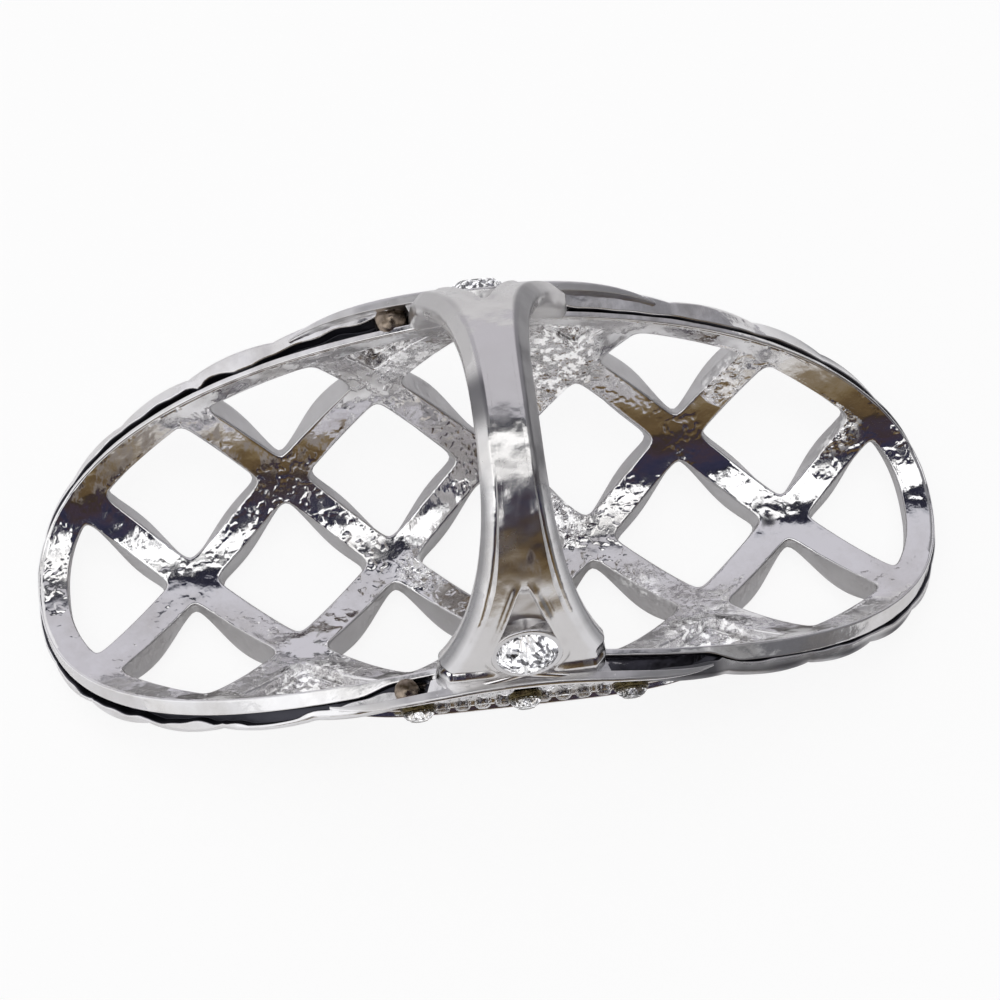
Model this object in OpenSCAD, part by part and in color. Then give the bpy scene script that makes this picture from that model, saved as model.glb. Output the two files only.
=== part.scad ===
// Long openwork finger ring, resting on its face with the shank on top.
// X runs along the finger, Y across it and Z up. The origin is the middle of what it rests on.
// A place on the ring is given as x, an angle round the finger hole and a depth outward from that hole.
// The angle is 0 at the middle of the face, 90 at the +Y side and 180 at the top of the shank.

/* [Finger hole] */
// Radius of the finger hole
finger_r = 8.65; // [7.6:0.05:9.6]

/* [Rim] */
// Half the length of the rim's inner edge, along the finger
rim_half_length = 23.2; // [21:0.1:25]
// Angle that the rim climbs to at each shoulder
rim_climb = 100; // [94:1:102]
// Fullness of the rim's outline between shoulder and end
rim_fullness = 1.1; // [1:0.05:1.4]
// Bluntness of the rim's two ends
rim_bluntness = 2.2; // [1.8:0.1:2.6]
// Width of the rim's plain inner face
rim_face_w = 1.5; // [1.2:0.1:2]
// Thickness of the rim's thin inner lip
rim_lip_t = 0.35; // [0.25:0.05:0.5]
// Width of the groove between the lip and the petals
rim_groove_w = 0.22; // [0.15:0.01:0.3]
// Depth of that groove
rim_groove_depth = 0.45; // [0.2:0.05:0.8]
// How much wider the groove is in the pockets beside the shoulders
pocket_w = 0.65; // [0.4:0.05:0.7]
// Depth of those pockets
pocket_depth = 1.0; // [0.6:0.1:1.2]
// Depth of the petals' outer face from the finger hole, at the notches
petal_root = 1.4; // [1.3:0.05:1.5]
// How far each petal swells past its notches
petal_swell = 0.2; // [0.1:0.05:0.4]
// Number of petals round the whole rim
petal_count = 28; // [20:4:32]

/* [Lattice] */
// Distance along the finger between one column of crossings and the next
column_pitch = 5.13; // [4.6:0.01:5.5]
// Angle between one row of crossings and the next
row_angle = 31.9; // [29:0.1:33]
// Width of a bar's inner face
bar_w = 1.6; // [1.2:0.05:1.8]
// Width of a bar's outer face at its middle
bar_mid_w = 2.1; // [1.6:0.05:2.3]
// Thickness of a bar at a crossing
bar_t = 0.95; // [0.8:0.05:1.2]
// Thickness of a bar at its middle
bar_mid_t = 1.45; // [1.2:0.05:1.6]

/* [Shank] */
// Width of the shank at its narrowest
shank_w = 3; // [2.4:0.05:4]
// How much wider the shank is where it reaches the rim
shank_spread = 8.6; // [7:0.1:9]
// Thickness of the shank
shank_t = 1.35; // [1.1:0.05:1.6]
// Width of the bevel along each side of the shank
shank_bevel = 0.45; // [0.2:0.05:0.6]
// Angle from the shank's top to the point of the fork
fork_angle = 46.5; // [42:0.5:52]
// Depth of the fork's recess
fork_depth = 0.7; // [0.4:0.05:0.9]

/* [Stones] */
// Diameter of the round stone in each fork
fork_stone_d = 2.6; // [2.2:0.1:2.8]
// Diameter of the stones along each leaf
leaf_stone_d = 1.5; // [1.2:0.1:1.8]
// Diameter of the small pave stones
pave_d = 0.8; // [0.7:0.02:0.84]

/* [Leaf] */
// Length of the leaf outside each shoulder
leaf_length = 18.6; // [16:0.2:20]
// Height of the leaf at its middle
leaf_height = 4.0; // [3:0.1:4.4]
// Angle of the leaf's middle line round the finger hole
leaf_angle = 87; // [84:1:90]
// Thickness of the leaf
leaf_t = 0.55; // [0.4:0.05:0.8]
// Angle that the leaf's tips sink by, to meet the rim
leaf_droop = 4.5; // [2:0.5:7]

/* [Hidden] */

NEAR = -1;
FAR = 1;

// Depths outward from the finger hole
leaf_inner = petal_root - 0.1;
leaf_face = leaf_inner + leaf_t;

// Small insets of the inner faces, so that fused shapes share no surface
shank_inset = 0.03;
bar_inset = 0.06;

// A bar's pegs start inside the finger hole, which is then cut clear, and a bar runs this far under the rim
bar_root = -0.4;
bar_sides = 8;
bar_step = 0.02;
bar_under_rim = 0.7 * rim_face_w;

// How far out a cut from outside reaches
cut_reach = 3;

// The pockets' stretch along the finger, from the fork's foot to the leaf's tip
pocket_from = 3.6;
pocket_to = 8.4;

// Plates that close two kinds of hole from behind, as x and angle: those beside the feet, and two on the near side
foot_hole_plate = [[column_pitch, 69.5], [2.4, 86.1], [7.6, 75.8]];
end_hole_plate = [[2 * column_pitch, 40], [6.4, 63], [8.4, 71], [13.2, 59.5]];
plate_floor = 0.8;
plate_back = 1.42;
plate_reach = 15;
plate_corner_r = 0.5;

// Rounding of the lip's edges and of the petals' shoulders
lip_round = 0.07;
petal_round = 0.22;
petal_rise = 0.1;

// Sections along the rim, the shank and the leaf
rim_stations = petal_count * 4;
shank_stations = 32;
leaf_stations = 14;

// The shank's ends, how fast it widens towards them, and the half width of its fork's feet
shank_end = 92;
shank_flare = 2.7;
shank_edge = 0.2;
fork_foot_half_w = 3.3;

// The fork's recess, and the stone and bezel at its foot
fork_stone_angle = 180 - 69;
fork_stone_girdle = 1.15;
fork_base_half_w = 1.25;
fork_corner_r = 0.25;
fork_floor = shank_t - fork_depth;
bezel_wall = 0.25;
bezel_lip = 0.18;

// A cut stone's proportions, in diameters, and its clearance in its seat
table_r = 0.29;
crown_h = 0.17;
girdle_h = 0.06;
pavilion_h = 0.36;
culet_r = 0.02;
seat_gap = 0.04;

// The slots between the fork's feet and the leaf
slot_angle = 77.5;
slot_from = 2.0;
slot_to = 3.5;
slot_r = 0.22;
slot_floor = 0.6;

// The leaf's edge, its flat share, and the blunt tips that sink into the petals
leaf_edge = 0.12;
leaf_flat = 0.9;
leaf_tip_angle = 0.6;
leaf_tip_sink = 0.35;

// The leaf stones' places and collars
leaf_stone_x = column_pitch;
leaf_stone_girdle = leaf_face + 0.04;
collar_wall = 0.14;
collar_lip = 0.06;

// The pave stones stand in two rows, above and below the three leaf stones
pave_pitch = 0.98;
pave_half_count = 7;
pave_row_angle = 6.9;
pave_margin = 0.16;
pave_girdle = leaf_face + 0.02;

// Height of the finger hole's axis over what the ring rests on, which is the two petals at each of the rim's tips
axis_z = max([
    for (i = [0 : rim_stations - 1])
        let (t = 360 * i / rim_stations)
        for (p = rim_section(t)) (finger_r + p[1]) * cos(rim_spot(t, p[0])[1])
]);

// Each row is a bar's lower crossing and its way along the columns: column, row, step
BARS = [
    [1, 0, -1],
    [1, 0, 1],
    [3, 0, -1],
    [3, 0, 1],
    [0, 1, 1],
    [2, 1, -1],
    [2, 1, 1],
    [1, 2, -1],
    [1, 2, 1]
];

function arc(angle, r) = angle * PI / 180 * r;
function angle_of(length, r) = length / r * 180 / PI;

// A point from its place along the finger, its angle and its depth outward from the finger hole
function on_ring(x, angle, depth) = [
    x,
    (finger_r + depth) * sin(angle),
    axis_z - (finger_r + depth) * cos(angle)
];

// The rim's inner edge: x is a cosine, and the angle is the climb times a blunted power of what is left
function rim_angle(x) =
    rim_climb * pow(max(0, 1 - pow(abs(x) / rim_half_length, rim_fullness)), 1 / rim_bluntness);
function rim_place(t) = [
    rim_half_length * cos(t),
    sign(sin(t)) * rim_angle(rim_half_length * cos(t))
];

// The direction away from the face's middle, square to the rim, in the flattened surface
function rim_normal(t) =
    let (
        a = rim_place(t - 1),
        b = rim_place(t + 1),
        dx = b[0] - a[0],
        ds = arc(b[1] - a[1], finger_r),
        length = norm([dx, ds])
    )
    [ds / length, -dx / length];

// A place out from the rim's inner edge, as x and angle
function rim_spot(t, out) =
    let (
        p = rim_place(t),
        n = rim_normal(t)
    )
    [p[0] + out * n[0], p[1] + angle_of(out * n[1], finger_r)];

// A point of the rim's section, out from its inner edge and outward from the finger hole
function rim_point(t, out, depth) =
    let (spot = rim_spot(t, out))
    on_ring(spot[0], spot[1], depth);

// Petals swell between their notches as the absolute value of a sine, so each tip of the rim is a notch
function petal(t) = abs(sin(t * petal_count / 2));

// How far the groove is open to a pocket: 1 beside the fork's foot, falling to 0 at the leaf's tip
function pocket(t) =
    let (x = abs(rim_half_length * cos(t)))
    x < pocket_from || x > pocket_to ? 0 : (pocket_to - x) / (pocket_to - pocket_from);
function groove_depth(t) =
    abs(rim_half_length * cos(t)) < pocket_from
        ? lip_round + 0.02
        : max(rim_groove_depth, pocket_depth * sqrt(pocket(t)));

// The leaf is lens shaped, and towards its tips its middle line droops and it sinks into the petals
function leaf_half_height(x) = leaf_height / 2 * (1 - pow(x / (leaf_length / 2), 2));
function leaf_middle(x) = leaf_angle - leaf_droop * pow(x / (leaf_length / 2), 2);
function leaf_sink(x) = leaf_tip_sink * pow(x / (leaf_length / 2), 6);

// The places of the small stones on a leaf, as x and angle
function pave_places(side) = [
    for (c = [-pave_half_count : pave_half_count])
        for (r = [-1, 1])
            let (
                x = c * pave_pitch,
                row = arc(pave_row_angle, finger_r + leaf_face),
                near_stone = min([for (place = [-1, 0, 1]) norm([x - place * leaf_stone_x, row])]),
                fits = leaf_half_height(x) > row + pave_margin
                    && near_stone > (leaf_stone_d + pave_d) / 2 + collar_wall
            )
            if (fits) [x, side * (leaf_middle(x) + r * pave_row_angle)]
];

// The rim's section: the lip, the groove, the petal's edge and its outer face
function rim_section(t) =
    let (
        face = petal_root + petal_swell * petal(t),
        rise = petal_rise + petal_swell * petal(t),
        groove = groove_depth(t),
        inner = rim_lip_t + rim_groove_w + pocket_w * pocket(t)
    )
    [
        [-rim_face_w, 0],
        [-lip_round, 0],
        [0, lip_round],
        [0, rim_lip_t - lip_round],
        [-lip_round, rim_lip_t],
        [-groove, rim_lip_t],
        [-groove, inner],
        [0, inner],
        [rise, inner + petal_round / 2],
        [rise, face - petal_round],
        [rise - petal_round, face],
        [-rim_face_w / 2, face],
        [-rim_face_w, bar_t]
    ];

// How far along a bar it reaches before it runs under the rim: 1 is its upper crossing
function bar_reach(b, f = 1) =
    let (
        x = (b[0] + b[2] * f) * column_pitch,
        inside = (b[1] + f) * row_angle < rim_angle(x) - angle_of(bar_under_rim, finger_r)
    )
    inside || f < bar_step ? f : bar_reach(b, f - bar_step);

// The shank's half width grows with about the cube of its angle from the top
function shank_half_width(from_top) =
    shank_w / 2 + shank_spread / 2 * pow(abs(from_top) / 90, shank_flare);

// The shank is thick as far as the fork's feet, and past them its edges thin to the rim's lip
function shank_section(from_top) =
    let (
        h = shank_half_width(from_top),
        foot = min(h - shank_bevel, fork_foot_half_w),
        past_foot = min(1, (h - foot - shank_bevel) / shank_bevel),
        side_t = shank_t - shank_bevel + past_foot * (rim_lip_t + shank_bevel - shank_t),
        right = [
            [h - shank_edge, shank_inset],
            [h, shank_edge],
            [h, side_t],
            [foot + shank_bevel, side_t + shank_inset],
            [foot, shank_t]
        ]
    )
    concat(right, [for (i = [len(right) - 1 : -1 : 0]) [-right[i][0], right[i][1]]]);

// Faces of a tube of rings, each ring with the same number of points
function tube_faces(rings, points, closed) = concat(
    [
        for (i = [0 : rings - (closed ? 1 : 2)])
            for (j = [0 : points - 1])
                [
                    i * points + j,
                    i * points + (j + 1) % points,
                    ((i + 1) % rings) * points + (j + 1) % points,
                    ((i + 1) % rings) * points + j
                ]
    ],
    closed ? [] : [
        [for (j = [points - 1 : -1 : 0]) j],
        [for (j = [0 : points - 1]) (rings - 1) * points + j]
    ]
);

// Turns its children so that -Z points outward at an angle round the finger hole
module at_angle(x, angle) {
    translate([x, 0, axis_z])
        rotate([angle, 0, 0])
            children();
}

// A round peg that stands outward between two depths
module peg(x, angle, from_depth, to_depth, r, sides) {
    at_angle(x, angle)
        translate([0, 0, -(finger_r + to_depth)])
            cylinder(r = r, h = to_depth - from_depth, $fn = sides);
}

// A cut stone with its girdle at a depth and its eight-sided table facing outward
module stone(x, angle, girdle_depth, d, sides) {
    at_angle(x, angle)
        translate([0, 0, -(finger_r + girdle_depth)])
            hull() {
                translate([0, 0, -(girdle_h / 2 + crown_h) * d])
                    rotate(180 / 8)
                        cylinder(r = table_r * d, h = 0.01, $fn = 8);
                translate([0, 0, -girdle_h / 2 * d])
                    cylinder(r = d / 2, h = girdle_h * d, $fn = sides);
                translate([0, 0, (girdle_h / 2 + pavilion_h) * d])
                    cylinder(r = culet_r, h = 0.01, $fn = 4);
            }
}

// Room for a stone: a round hole down past its girdle, that narrows below it
module stone_seat(x, angle, girdle_depth, d, sides) {
    seat_r = d / 2 + seat_gap;
    at_angle(x, angle)
        translate([0, 0, -(finger_r + girdle_depth)]) {
            translate([0, 0, -cut_reach])
                cylinder(r = seat_r, h = cut_reach + girdle_h * d, $fn = sides);
            translate([0, 0, girdle_h * d - 0.001])
                cylinder(r1 = seat_r, r2 = 0.1 * d, h = (girdle_h + pavilion_h) * d, $fn = sides);
        }
}

// A small stone's seat is one cone, because its girdle lies at the leaf's face
module pave_seat(x, angle) {
    at_angle(x, angle)
        translate([0, 0, -(finger_r + pave_girdle + seat_gap)])
            cylinder(r1 = pave_d / 2 + 2 * seat_gap, r2 = 0.05, h = 0.6 * pave_d, $fn = 8);
}

module rim() {
    points = [
        for (i = [0 : rim_stations - 1])
            let (t = -360 * i / rim_stations)
            for (p = rim_section(t)) rim_point(t, p[0], p[1])
    ];
    polyhedron(points, tube_faces(rim_stations, len(rim_section(0)), true), convexity = 8);
}

// One bar, a leaf shape that is thin at its crossings and full at its middle
module bar(b, end, side) {
    reach = bar_reach(b);
    x0 = end * b[0] * column_pitch;
    x1 = end * (b[0] + b[2] * reach) * column_pitch;
    a0 = side * b[1] * row_angle;
    a1 = side * (b[1] + reach) * row_angle;
    hull() {
        peg(x0, a0, bar_root, bar_t, bar_w / 2, bar_sides);
        peg((x0 + x1) / 2, (a0 + a1) / 2, bar_root, bar_inset, bar_w / 2, bar_sides);
        peg((x0 + x1) / 2, (a0 + a1) / 2, bar_mid_t * 0.6, bar_mid_t, bar_mid_w / 2, bar_sides);
        peg(x1, a1, bar_root, bar_t, bar_w / 2, bar_sides);
    }
}

module lattice() {
    difference() {
        union() {
            for (b = BARS)
                for (side = [NEAR, FAR])
                    for (end = [-1, 1])
                        bar(b, end, side);
        }
        translate([-rim_half_length, 0, axis_z])
            rotate([0, 90, 0])
                cylinder(r = finger_r + bar_inset, h = 2 * rim_half_length, $fn = 90);
    }
}

module across_finger(r) {
    translate([-plate_reach, 0, axis_z])
        rotate([0, 90, 0])
            cylinder(r = r, h = 2 * plate_reach, $fn = 40);
}

// A plate behind one of the lattice's holes, which makes the hole a recess
module hole_plate(places, side, end) {
    difference() {
        intersection() {
            hull() {
                for (p = places) peg(end * p[0], side * p[1], 0, cut_reach, plate_corner_r, 6);
            }
            across_finger(finger_r + plate_back);
        }
        across_finger(finger_r + plate_floor);
    }
}

module shank() {
    points = [
        for (i = [0 : shank_stations - 1])
            let (from_top = shank_end * (2 * i / (shank_stations - 1) - 1))
            for (p = shank_section(from_top)) on_ring(-p[0], 180 + from_top, p[1])
    ];
    polyhedron(points, tube_faces(shank_stations, len(shank_section(0)), false), convexity = 4);
}

// The V between the fork's legs, cut into the outer face only
module fork_recess(side) {
    hull() {
        apex = 180 - fork_angle - angle_of(fork_corner_r, finger_r);
        peg(0, side * apex, fork_floor, cut_reach, fork_corner_r, 8);
        for (x = [-fork_base_half_w, fork_base_half_w])
            peg(x, side * fork_stone_angle, fork_floor, cut_reach, fork_corner_r, 8);
    }
}

module fork_bezel(side) {
    peg(
        0,
        side * fork_stone_angle,
        fork_floor - shank_inset,
        fork_stone_girdle + bezel_lip,
        fork_stone_d / 2 + bezel_wall,
        24
    );
}

// The slots beside the bezel, between the fork's feet and the leaf
module foot_slots(side) {
    for (end = [-1, 1])
        hull() {
            for (x = [slot_from, slot_to])
                peg(end * x, side * (180 - slot_angle), slot_floor, cut_reach, slot_r, 8);
        }
}

// The leaf is lens shaped, and its face leans back towards its upper edge
module leaf(side) {
    half_length = leaf_length / 2;
    points = [
        for (i = [0 : leaf_stations])
            let (
                x = -half_length * cos(180 * i / leaf_stations),
                middle = leaf_middle(x),
                inner = leaf_inner - leaf_sink(x),
                face = leaf_face - leaf_sink(x),
                h = leaf_tip_angle + angle_of(leaf_half_height(x), finger_r + leaf_face)
            )
            for (p = [
                [-h, inner],
                [-h, face - leaf_edge],
                [-h * leaf_flat, face],
                [h * leaf_flat, face],
                [h, face - leaf_edge],
                [h, inner]
            ])
                on_ring(-side * x, side * (middle + p[0]), p[1])
    ];
    polyhedron(points, tube_faces(leaf_stations + 1, 6, false), convexity = 4);
}

// A raised collar of metal round each leaf stone
module leaf_collar(side, x) {
    peg(
        x,
        side * leaf_middle(x),
        leaf_inner,
        leaf_stone_girdle + collar_lip,
        leaf_stone_d / 2 + collar_wall,
        16
    );
}

module blank() {
    rim();
    lattice();
    shank();
    for (side = [NEAR, FAR]) {
        leaf(side);
        for (place = [-1, 0, 1]) leaf_collar(side, place * leaf_stone_x);
        for (end = [-1, 1]) hole_plate(foot_hole_plate, side, end);
    }
    for (end = [-1, 1]) hole_plate(end_hole_plate, NEAR, end);
}

module seats() {
    for (side = [NEAR, FAR]) {
        stone_seat(0, side * fork_stone_angle, fork_stone_girdle, fork_stone_d, 24);
        for (place = [-1, 0, 1]) {
            x = place * leaf_stone_x;
            stone_seat(x, side * leaf_middle(x), leaf_stone_girdle, leaf_stone_d, 16);
        }
        for (p = pave_places(side)) pave_seat(p[0], p[1]);
    }
}

module casting() {
    color("silver")
        difference() {
            union() {
                difference() {
                    blank();
                    for (side = [NEAR, FAR]) {
                        fork_recess(side);
                        foot_slots(side);
                    }
                }
                for (side = [NEAR, FAR]) fork_bezel(side);
            }
            seats();
        }
}

module fork_stone(side) {
    color("whitesmoke")
        stone(0, side * fork_stone_angle, fork_stone_girdle, fork_stone_d, 16);
}

module leaf_stone(side, place) {
    color("wheat")
        stone(
            place * leaf_stone_x,
            side * leaf_middle(leaf_stone_x * place),
            leaf_stone_girdle,
            leaf_stone_d,
            16
        );
}

module pave_field(side) {
    color("white")
        for (p = pave_places(side))
            stone(p[0], p[1], pave_girdle, pave_d, 8);
}

casting();
fork_stone(NEAR);  // fork_stone_near
fork_stone(FAR);  // fork_stone_far
leaf_stone(NEAR, -1);  // leaf_stone_near_left
leaf_stone(NEAR, 0);  // leaf_stone_near_middle
leaf_stone(NEAR, 1);  // leaf_stone_near_right
leaf_stone(FAR, -1);  // leaf_stone_far_left
leaf_stone(FAR, 0);  // leaf_stone_far_middle
leaf_stone(FAR, 1);  // leaf_stone_far_right
pave_field(NEAR);  // pave_near
pave_field(FAR);  // pave_far
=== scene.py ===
"""Looks of a long openwork finger ring: its surfaces, stones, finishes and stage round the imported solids."""

import math

import bmesh
import bpy
import numpy as np
from mathutils import Matrix, Vector


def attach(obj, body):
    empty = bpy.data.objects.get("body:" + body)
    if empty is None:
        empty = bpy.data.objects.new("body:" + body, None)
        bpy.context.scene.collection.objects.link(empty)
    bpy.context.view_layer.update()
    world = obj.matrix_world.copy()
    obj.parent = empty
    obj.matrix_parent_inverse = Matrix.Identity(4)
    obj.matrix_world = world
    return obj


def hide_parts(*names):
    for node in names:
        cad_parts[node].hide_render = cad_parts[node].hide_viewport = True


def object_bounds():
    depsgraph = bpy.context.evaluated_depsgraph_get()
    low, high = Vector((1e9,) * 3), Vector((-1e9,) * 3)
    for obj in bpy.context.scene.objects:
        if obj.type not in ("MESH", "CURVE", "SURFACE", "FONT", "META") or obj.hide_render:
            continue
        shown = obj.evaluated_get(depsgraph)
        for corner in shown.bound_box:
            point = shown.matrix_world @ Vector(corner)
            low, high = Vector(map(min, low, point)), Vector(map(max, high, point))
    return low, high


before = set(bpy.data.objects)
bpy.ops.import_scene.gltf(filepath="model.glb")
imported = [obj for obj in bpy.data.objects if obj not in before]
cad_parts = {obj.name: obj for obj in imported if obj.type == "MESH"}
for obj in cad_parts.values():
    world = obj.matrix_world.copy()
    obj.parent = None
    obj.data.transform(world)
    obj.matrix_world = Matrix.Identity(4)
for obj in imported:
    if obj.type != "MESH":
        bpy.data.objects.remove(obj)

bl_info = {
    "name": "Openwork finger ring",
    "version": (1, 0, 0),
    "blender": (4, 5, 0),
    "location": "View3D > Sidebar > Ring",
    "description": "Builds the surfaces, stones and finishes of a long openwork finger ring",
    "category": "Add Mesh",
}

MM = 0.001
TURN = 2 * math.pi
CAD_BOX = [list(corner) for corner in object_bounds()]
BODY = "root"
SIDES = {"near": -1, "far": 1}
PLACES = {"left": -1, "middle": 0, "right": 1}
BLACK = (0.0, 0.0, 0.0)
WHITE = (1.0, 1.0, 1.0)

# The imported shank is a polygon, so its top lies this far under the round one's
AXIS_TRIM = 0.0133 * MM

# A rounded corner of a section is this many points
CORNER_POINTS = 7

# The rim's outline, and how finely it is followed
RIM_FULLNESS = 1.1
RIM_BLUNTNESS = 2.2
RIM_SAMPLES = 720
STATIONS_PER_PETAL = 20
EDGE_STEP = math.radians(0.5)

# The lattice's slab ends just inside the rim's lip, and thins there to lie under it
SLAB_INSET = 0.1 * MM
SLAB_UNDER_RIM = (-0.45 * MM, -0.05 * MM)
SLAB_THIN = 0.3 * MM
SIDE_STEPS = 20
EDGE_ROUND = 0.14 * MM
EDGE_FADE = 1.6 * EDGE_ROUND
CORNER_POWER = 13

# The lattice reaches this many columns and rows from its middle, with the cells that the rim cuts
COLUMNS_OUT = 6
ROWS_OUT = 4

# The shares along a flat stretch of a hole's profile, the angles round its edge and the shares down its wall
FLAT = np.linspace(0, 1, 7)
QUARTER_TURN = np.linspace(0, math.pi / 2, 5)
OPEN_WALL = np.array([0.15, 0.5, 0.85])
RECESS_WALL = np.array([0.25, 0.5, 0.75])

# How often a search for an edge halves its way: a bar's end at the rim, and a hole's edge
EXIT_HALVINGS = 36
HOLE_HALVINGS = 22

# The steps between a crossing and the corners of the cell round it
CORNERS = ((1, 0), (0, 1), (-1, 0), (0, -1))

# The rim's inner face is narrower along the shoulders than at the ring's ends
SHOULDER_FACE_CUT = 0.42 * MM
SHOULDER_TO_END = (13 * MM, 19 * MM)

# Casting skin that stayed rough: x in mm, angle in degrees, half sizes in mm along and round, strength
ROUGH_PLACES = (
    (4.4, 68, 1.9, 3.6, 1.0),
    (4.2, 12, 1.5, 2.0, 1.0),
    (-3.4, 74, 1.6, 1.6, 0.6),
    (-9.8, -47, 1.9, 1.0, 0.9),
    (10.1, -47, 2.3, 1.2, 0.9),
    (7.2, -26, 1.3, 2.2, 0.5),
    (-5.3, -33, 1.4, 1.6, 0.5),
    (17.0, -44, 1.8, 1.0, 0.5),
    (12.7, 54, 1.2, 1.8, 0.6),
    (18.4, 31, 1.6, 1.6, 0.6),
    (-3.6, -5, 1.6, 1.2, 0.5),
)

# Pits in the casting, each sunk and darkened with painted shade: x in mm, angle in degrees, radius in mm
PITS = ((7.8, -31, 0.3), (14.6, -0.4, 0.33))
PIT_DEPTH = 0.2 * MM

# One corner of this cell is closed by a rough web of metal
WEB_CELL = (0, 2)
WEB_REACH = 2.2 * MM

# Some holes are recesses, with cups in their floor
RECESS_FLOOR = 0.8 * MM
RECESS_BACK = 1.42 * MM
CUP_PITCH = 0.98 * MM
CUP_DEPTH = 0.14 * MM

# Round a recess, the back steps from the floor's plate to the bars over this way
RECESS_RIM = 0.5 * MM

# The columns of a recess's profile that are its floor
RECESS_COLUMNS = slice(15, 31)

# The power that shapes the bars' outer faces as leaves, and the depth that ends the lattice's inner side
LEAF_POWER = 1.3
INNER_SIDE = 0.6 * MM

# A cut stone's faces, of which the crown's and the girdle's come first and are clear
CLEAR_FACES = 33 + 16
STONE_FACES = 33 + 16 + 33

# The rim's own inner face lies a hair under the slab's
HAIR = 0.006 * MM
RIM_BACK = 0.06 * MM

# By near or far side, then left or right: the groove's width in mm, and the pocket beside the foot,
# as where it begins and ends in mm, how wide it opens and how fast it closes
GROOVES = ((0.36, 0.12), (0.34, 0.14))
POCKETS = (
    ((4.4, 6.8, 1.0, 1.0), (3.9, 9.8, 1.2, 0.4)),
    ((3.3, 7.7, 1.0, 1.0), (4.7, 7.0, 0.1, 1.0)),
)

# The near side's lip, left then right: its width and how far along x it reaches that width, in mm
NEAR_LIPS = ((0.75, 8.0), (0.85, 11.0))

# Where the groove widens or closes: near or far side, place and reach along x and change of width, in mm
GROOVE_CHANGES = (
    (-1, -11.7, 1.8, 0.22),
    (-1, -7.9, 1.7, -0.27),
    (-1, 14.0, 5.0, -0.1),
    (1, -11.6, 1.6, -0.26),
    (1, -14.0, 0.3, -0.42),
    (1, 11.0, 6.0, -0.1),
)

# The groove's unevenness: the share of its width, the waves round the rim and their lag
GROOVE_WAVES = ((0.22, 23, 1), (0.16, 41, 0), (0.14, 67, 2))

# Patches of painted shade on the petals, which stand for near-black reflections, as the x in mm where they
# start, are full, fade and end: the one beside the near right foot, and those of the outer faces towards the
# right tip, near and far
FOOT_PAINTED_SHADE = (4.3, 4.8, 9.2, 10.2)
OUTER_PAINTED_SHADES = ((9.5, 11, 20.5, 22.5), (15, 17.5, 20.5, 22.5))
FIRST_PETAL_CORNER = 6
FIRST_OUTER_CORNER = 8

# How far each foot reaches from the middle, by near or far side, then left or right
FEET = ((4.2 * MM, 3.9 * MM), (3.3 * MM, 4.6 * MM))
SHANK_END = math.radians(92)
SHANK_STATIONS = 260
FORK_STONE_ANGLE = math.radians(111)
FORK_END_HALF_WIDTH = 0.9 * MM

# A slot across each foot stands for the see-through gap beside it
SLOT_FROM_TOP = math.radians(77.5)
SLOT_REACH = math.radians(1.3)
SLOT_FLOOR = 0.6 * MM

# The leaf: its sunk field, its middle line's angle and droop, its rows of small stones and their pitch
LEAF_FIELD = 0.3 * MM
LEAF_ANGLE = math.radians(87)
LEAF_DROOP = math.radians(4.5)
PAVE_ROW_ANGLE = math.radians(6.9)
PAVE_PITCH = 0.98 * MM
PAVE_SINK = 0.24 * MM
LEAF_STATIONS = 90

# The shank's fork: its legs' width at its point, how far they open and how high their inner edges rise
FORK_LEG = 0.22 * MM
FORK_OPENING = 1.45 * MM
FORK_RIDGE = 0.11 * MM

# The beads round a small stone: their radius, and their places as a share of the way to its corners
BEAD_RADIUS = 0.1 * MM
BEAD_SHARE = 0.72

# The sides of a bezel, a collar and a bead
BEZEL_SIDES = 48
COLLAR_SIDES = 28
BEAD_SIDES = 8

# The rounded backs that show in two pockets: their places along x, and radii
POCKET_BACKS = {"near": (-5.6 * MM, 0.62 * MM), "far": (-4.15 * MM, 0.85 * MM)}


def length_of(name, description, millimetres):
    """A property that holds a length, given in millimetres."""
    return bpy.props.FloatProperty(
        name=name, description=description, default=millimetres * MM, unit="LENGTH", precision=5)


def angle_of(name, description, degrees):
    """A property that holds an angle, given in degrees."""
    return bpy.props.FloatProperty(
        name=name, description=description, default=math.radians(degrees), subtype="ANGLE")


def colour_of(name, description, default):
    """A property that holds a colour, given as linear red, green and blue."""
    return bpy.props.FloatVectorProperty(
        name=name, description=description, subtype="COLOR", size=3, min=0, max=1, default=default)


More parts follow.
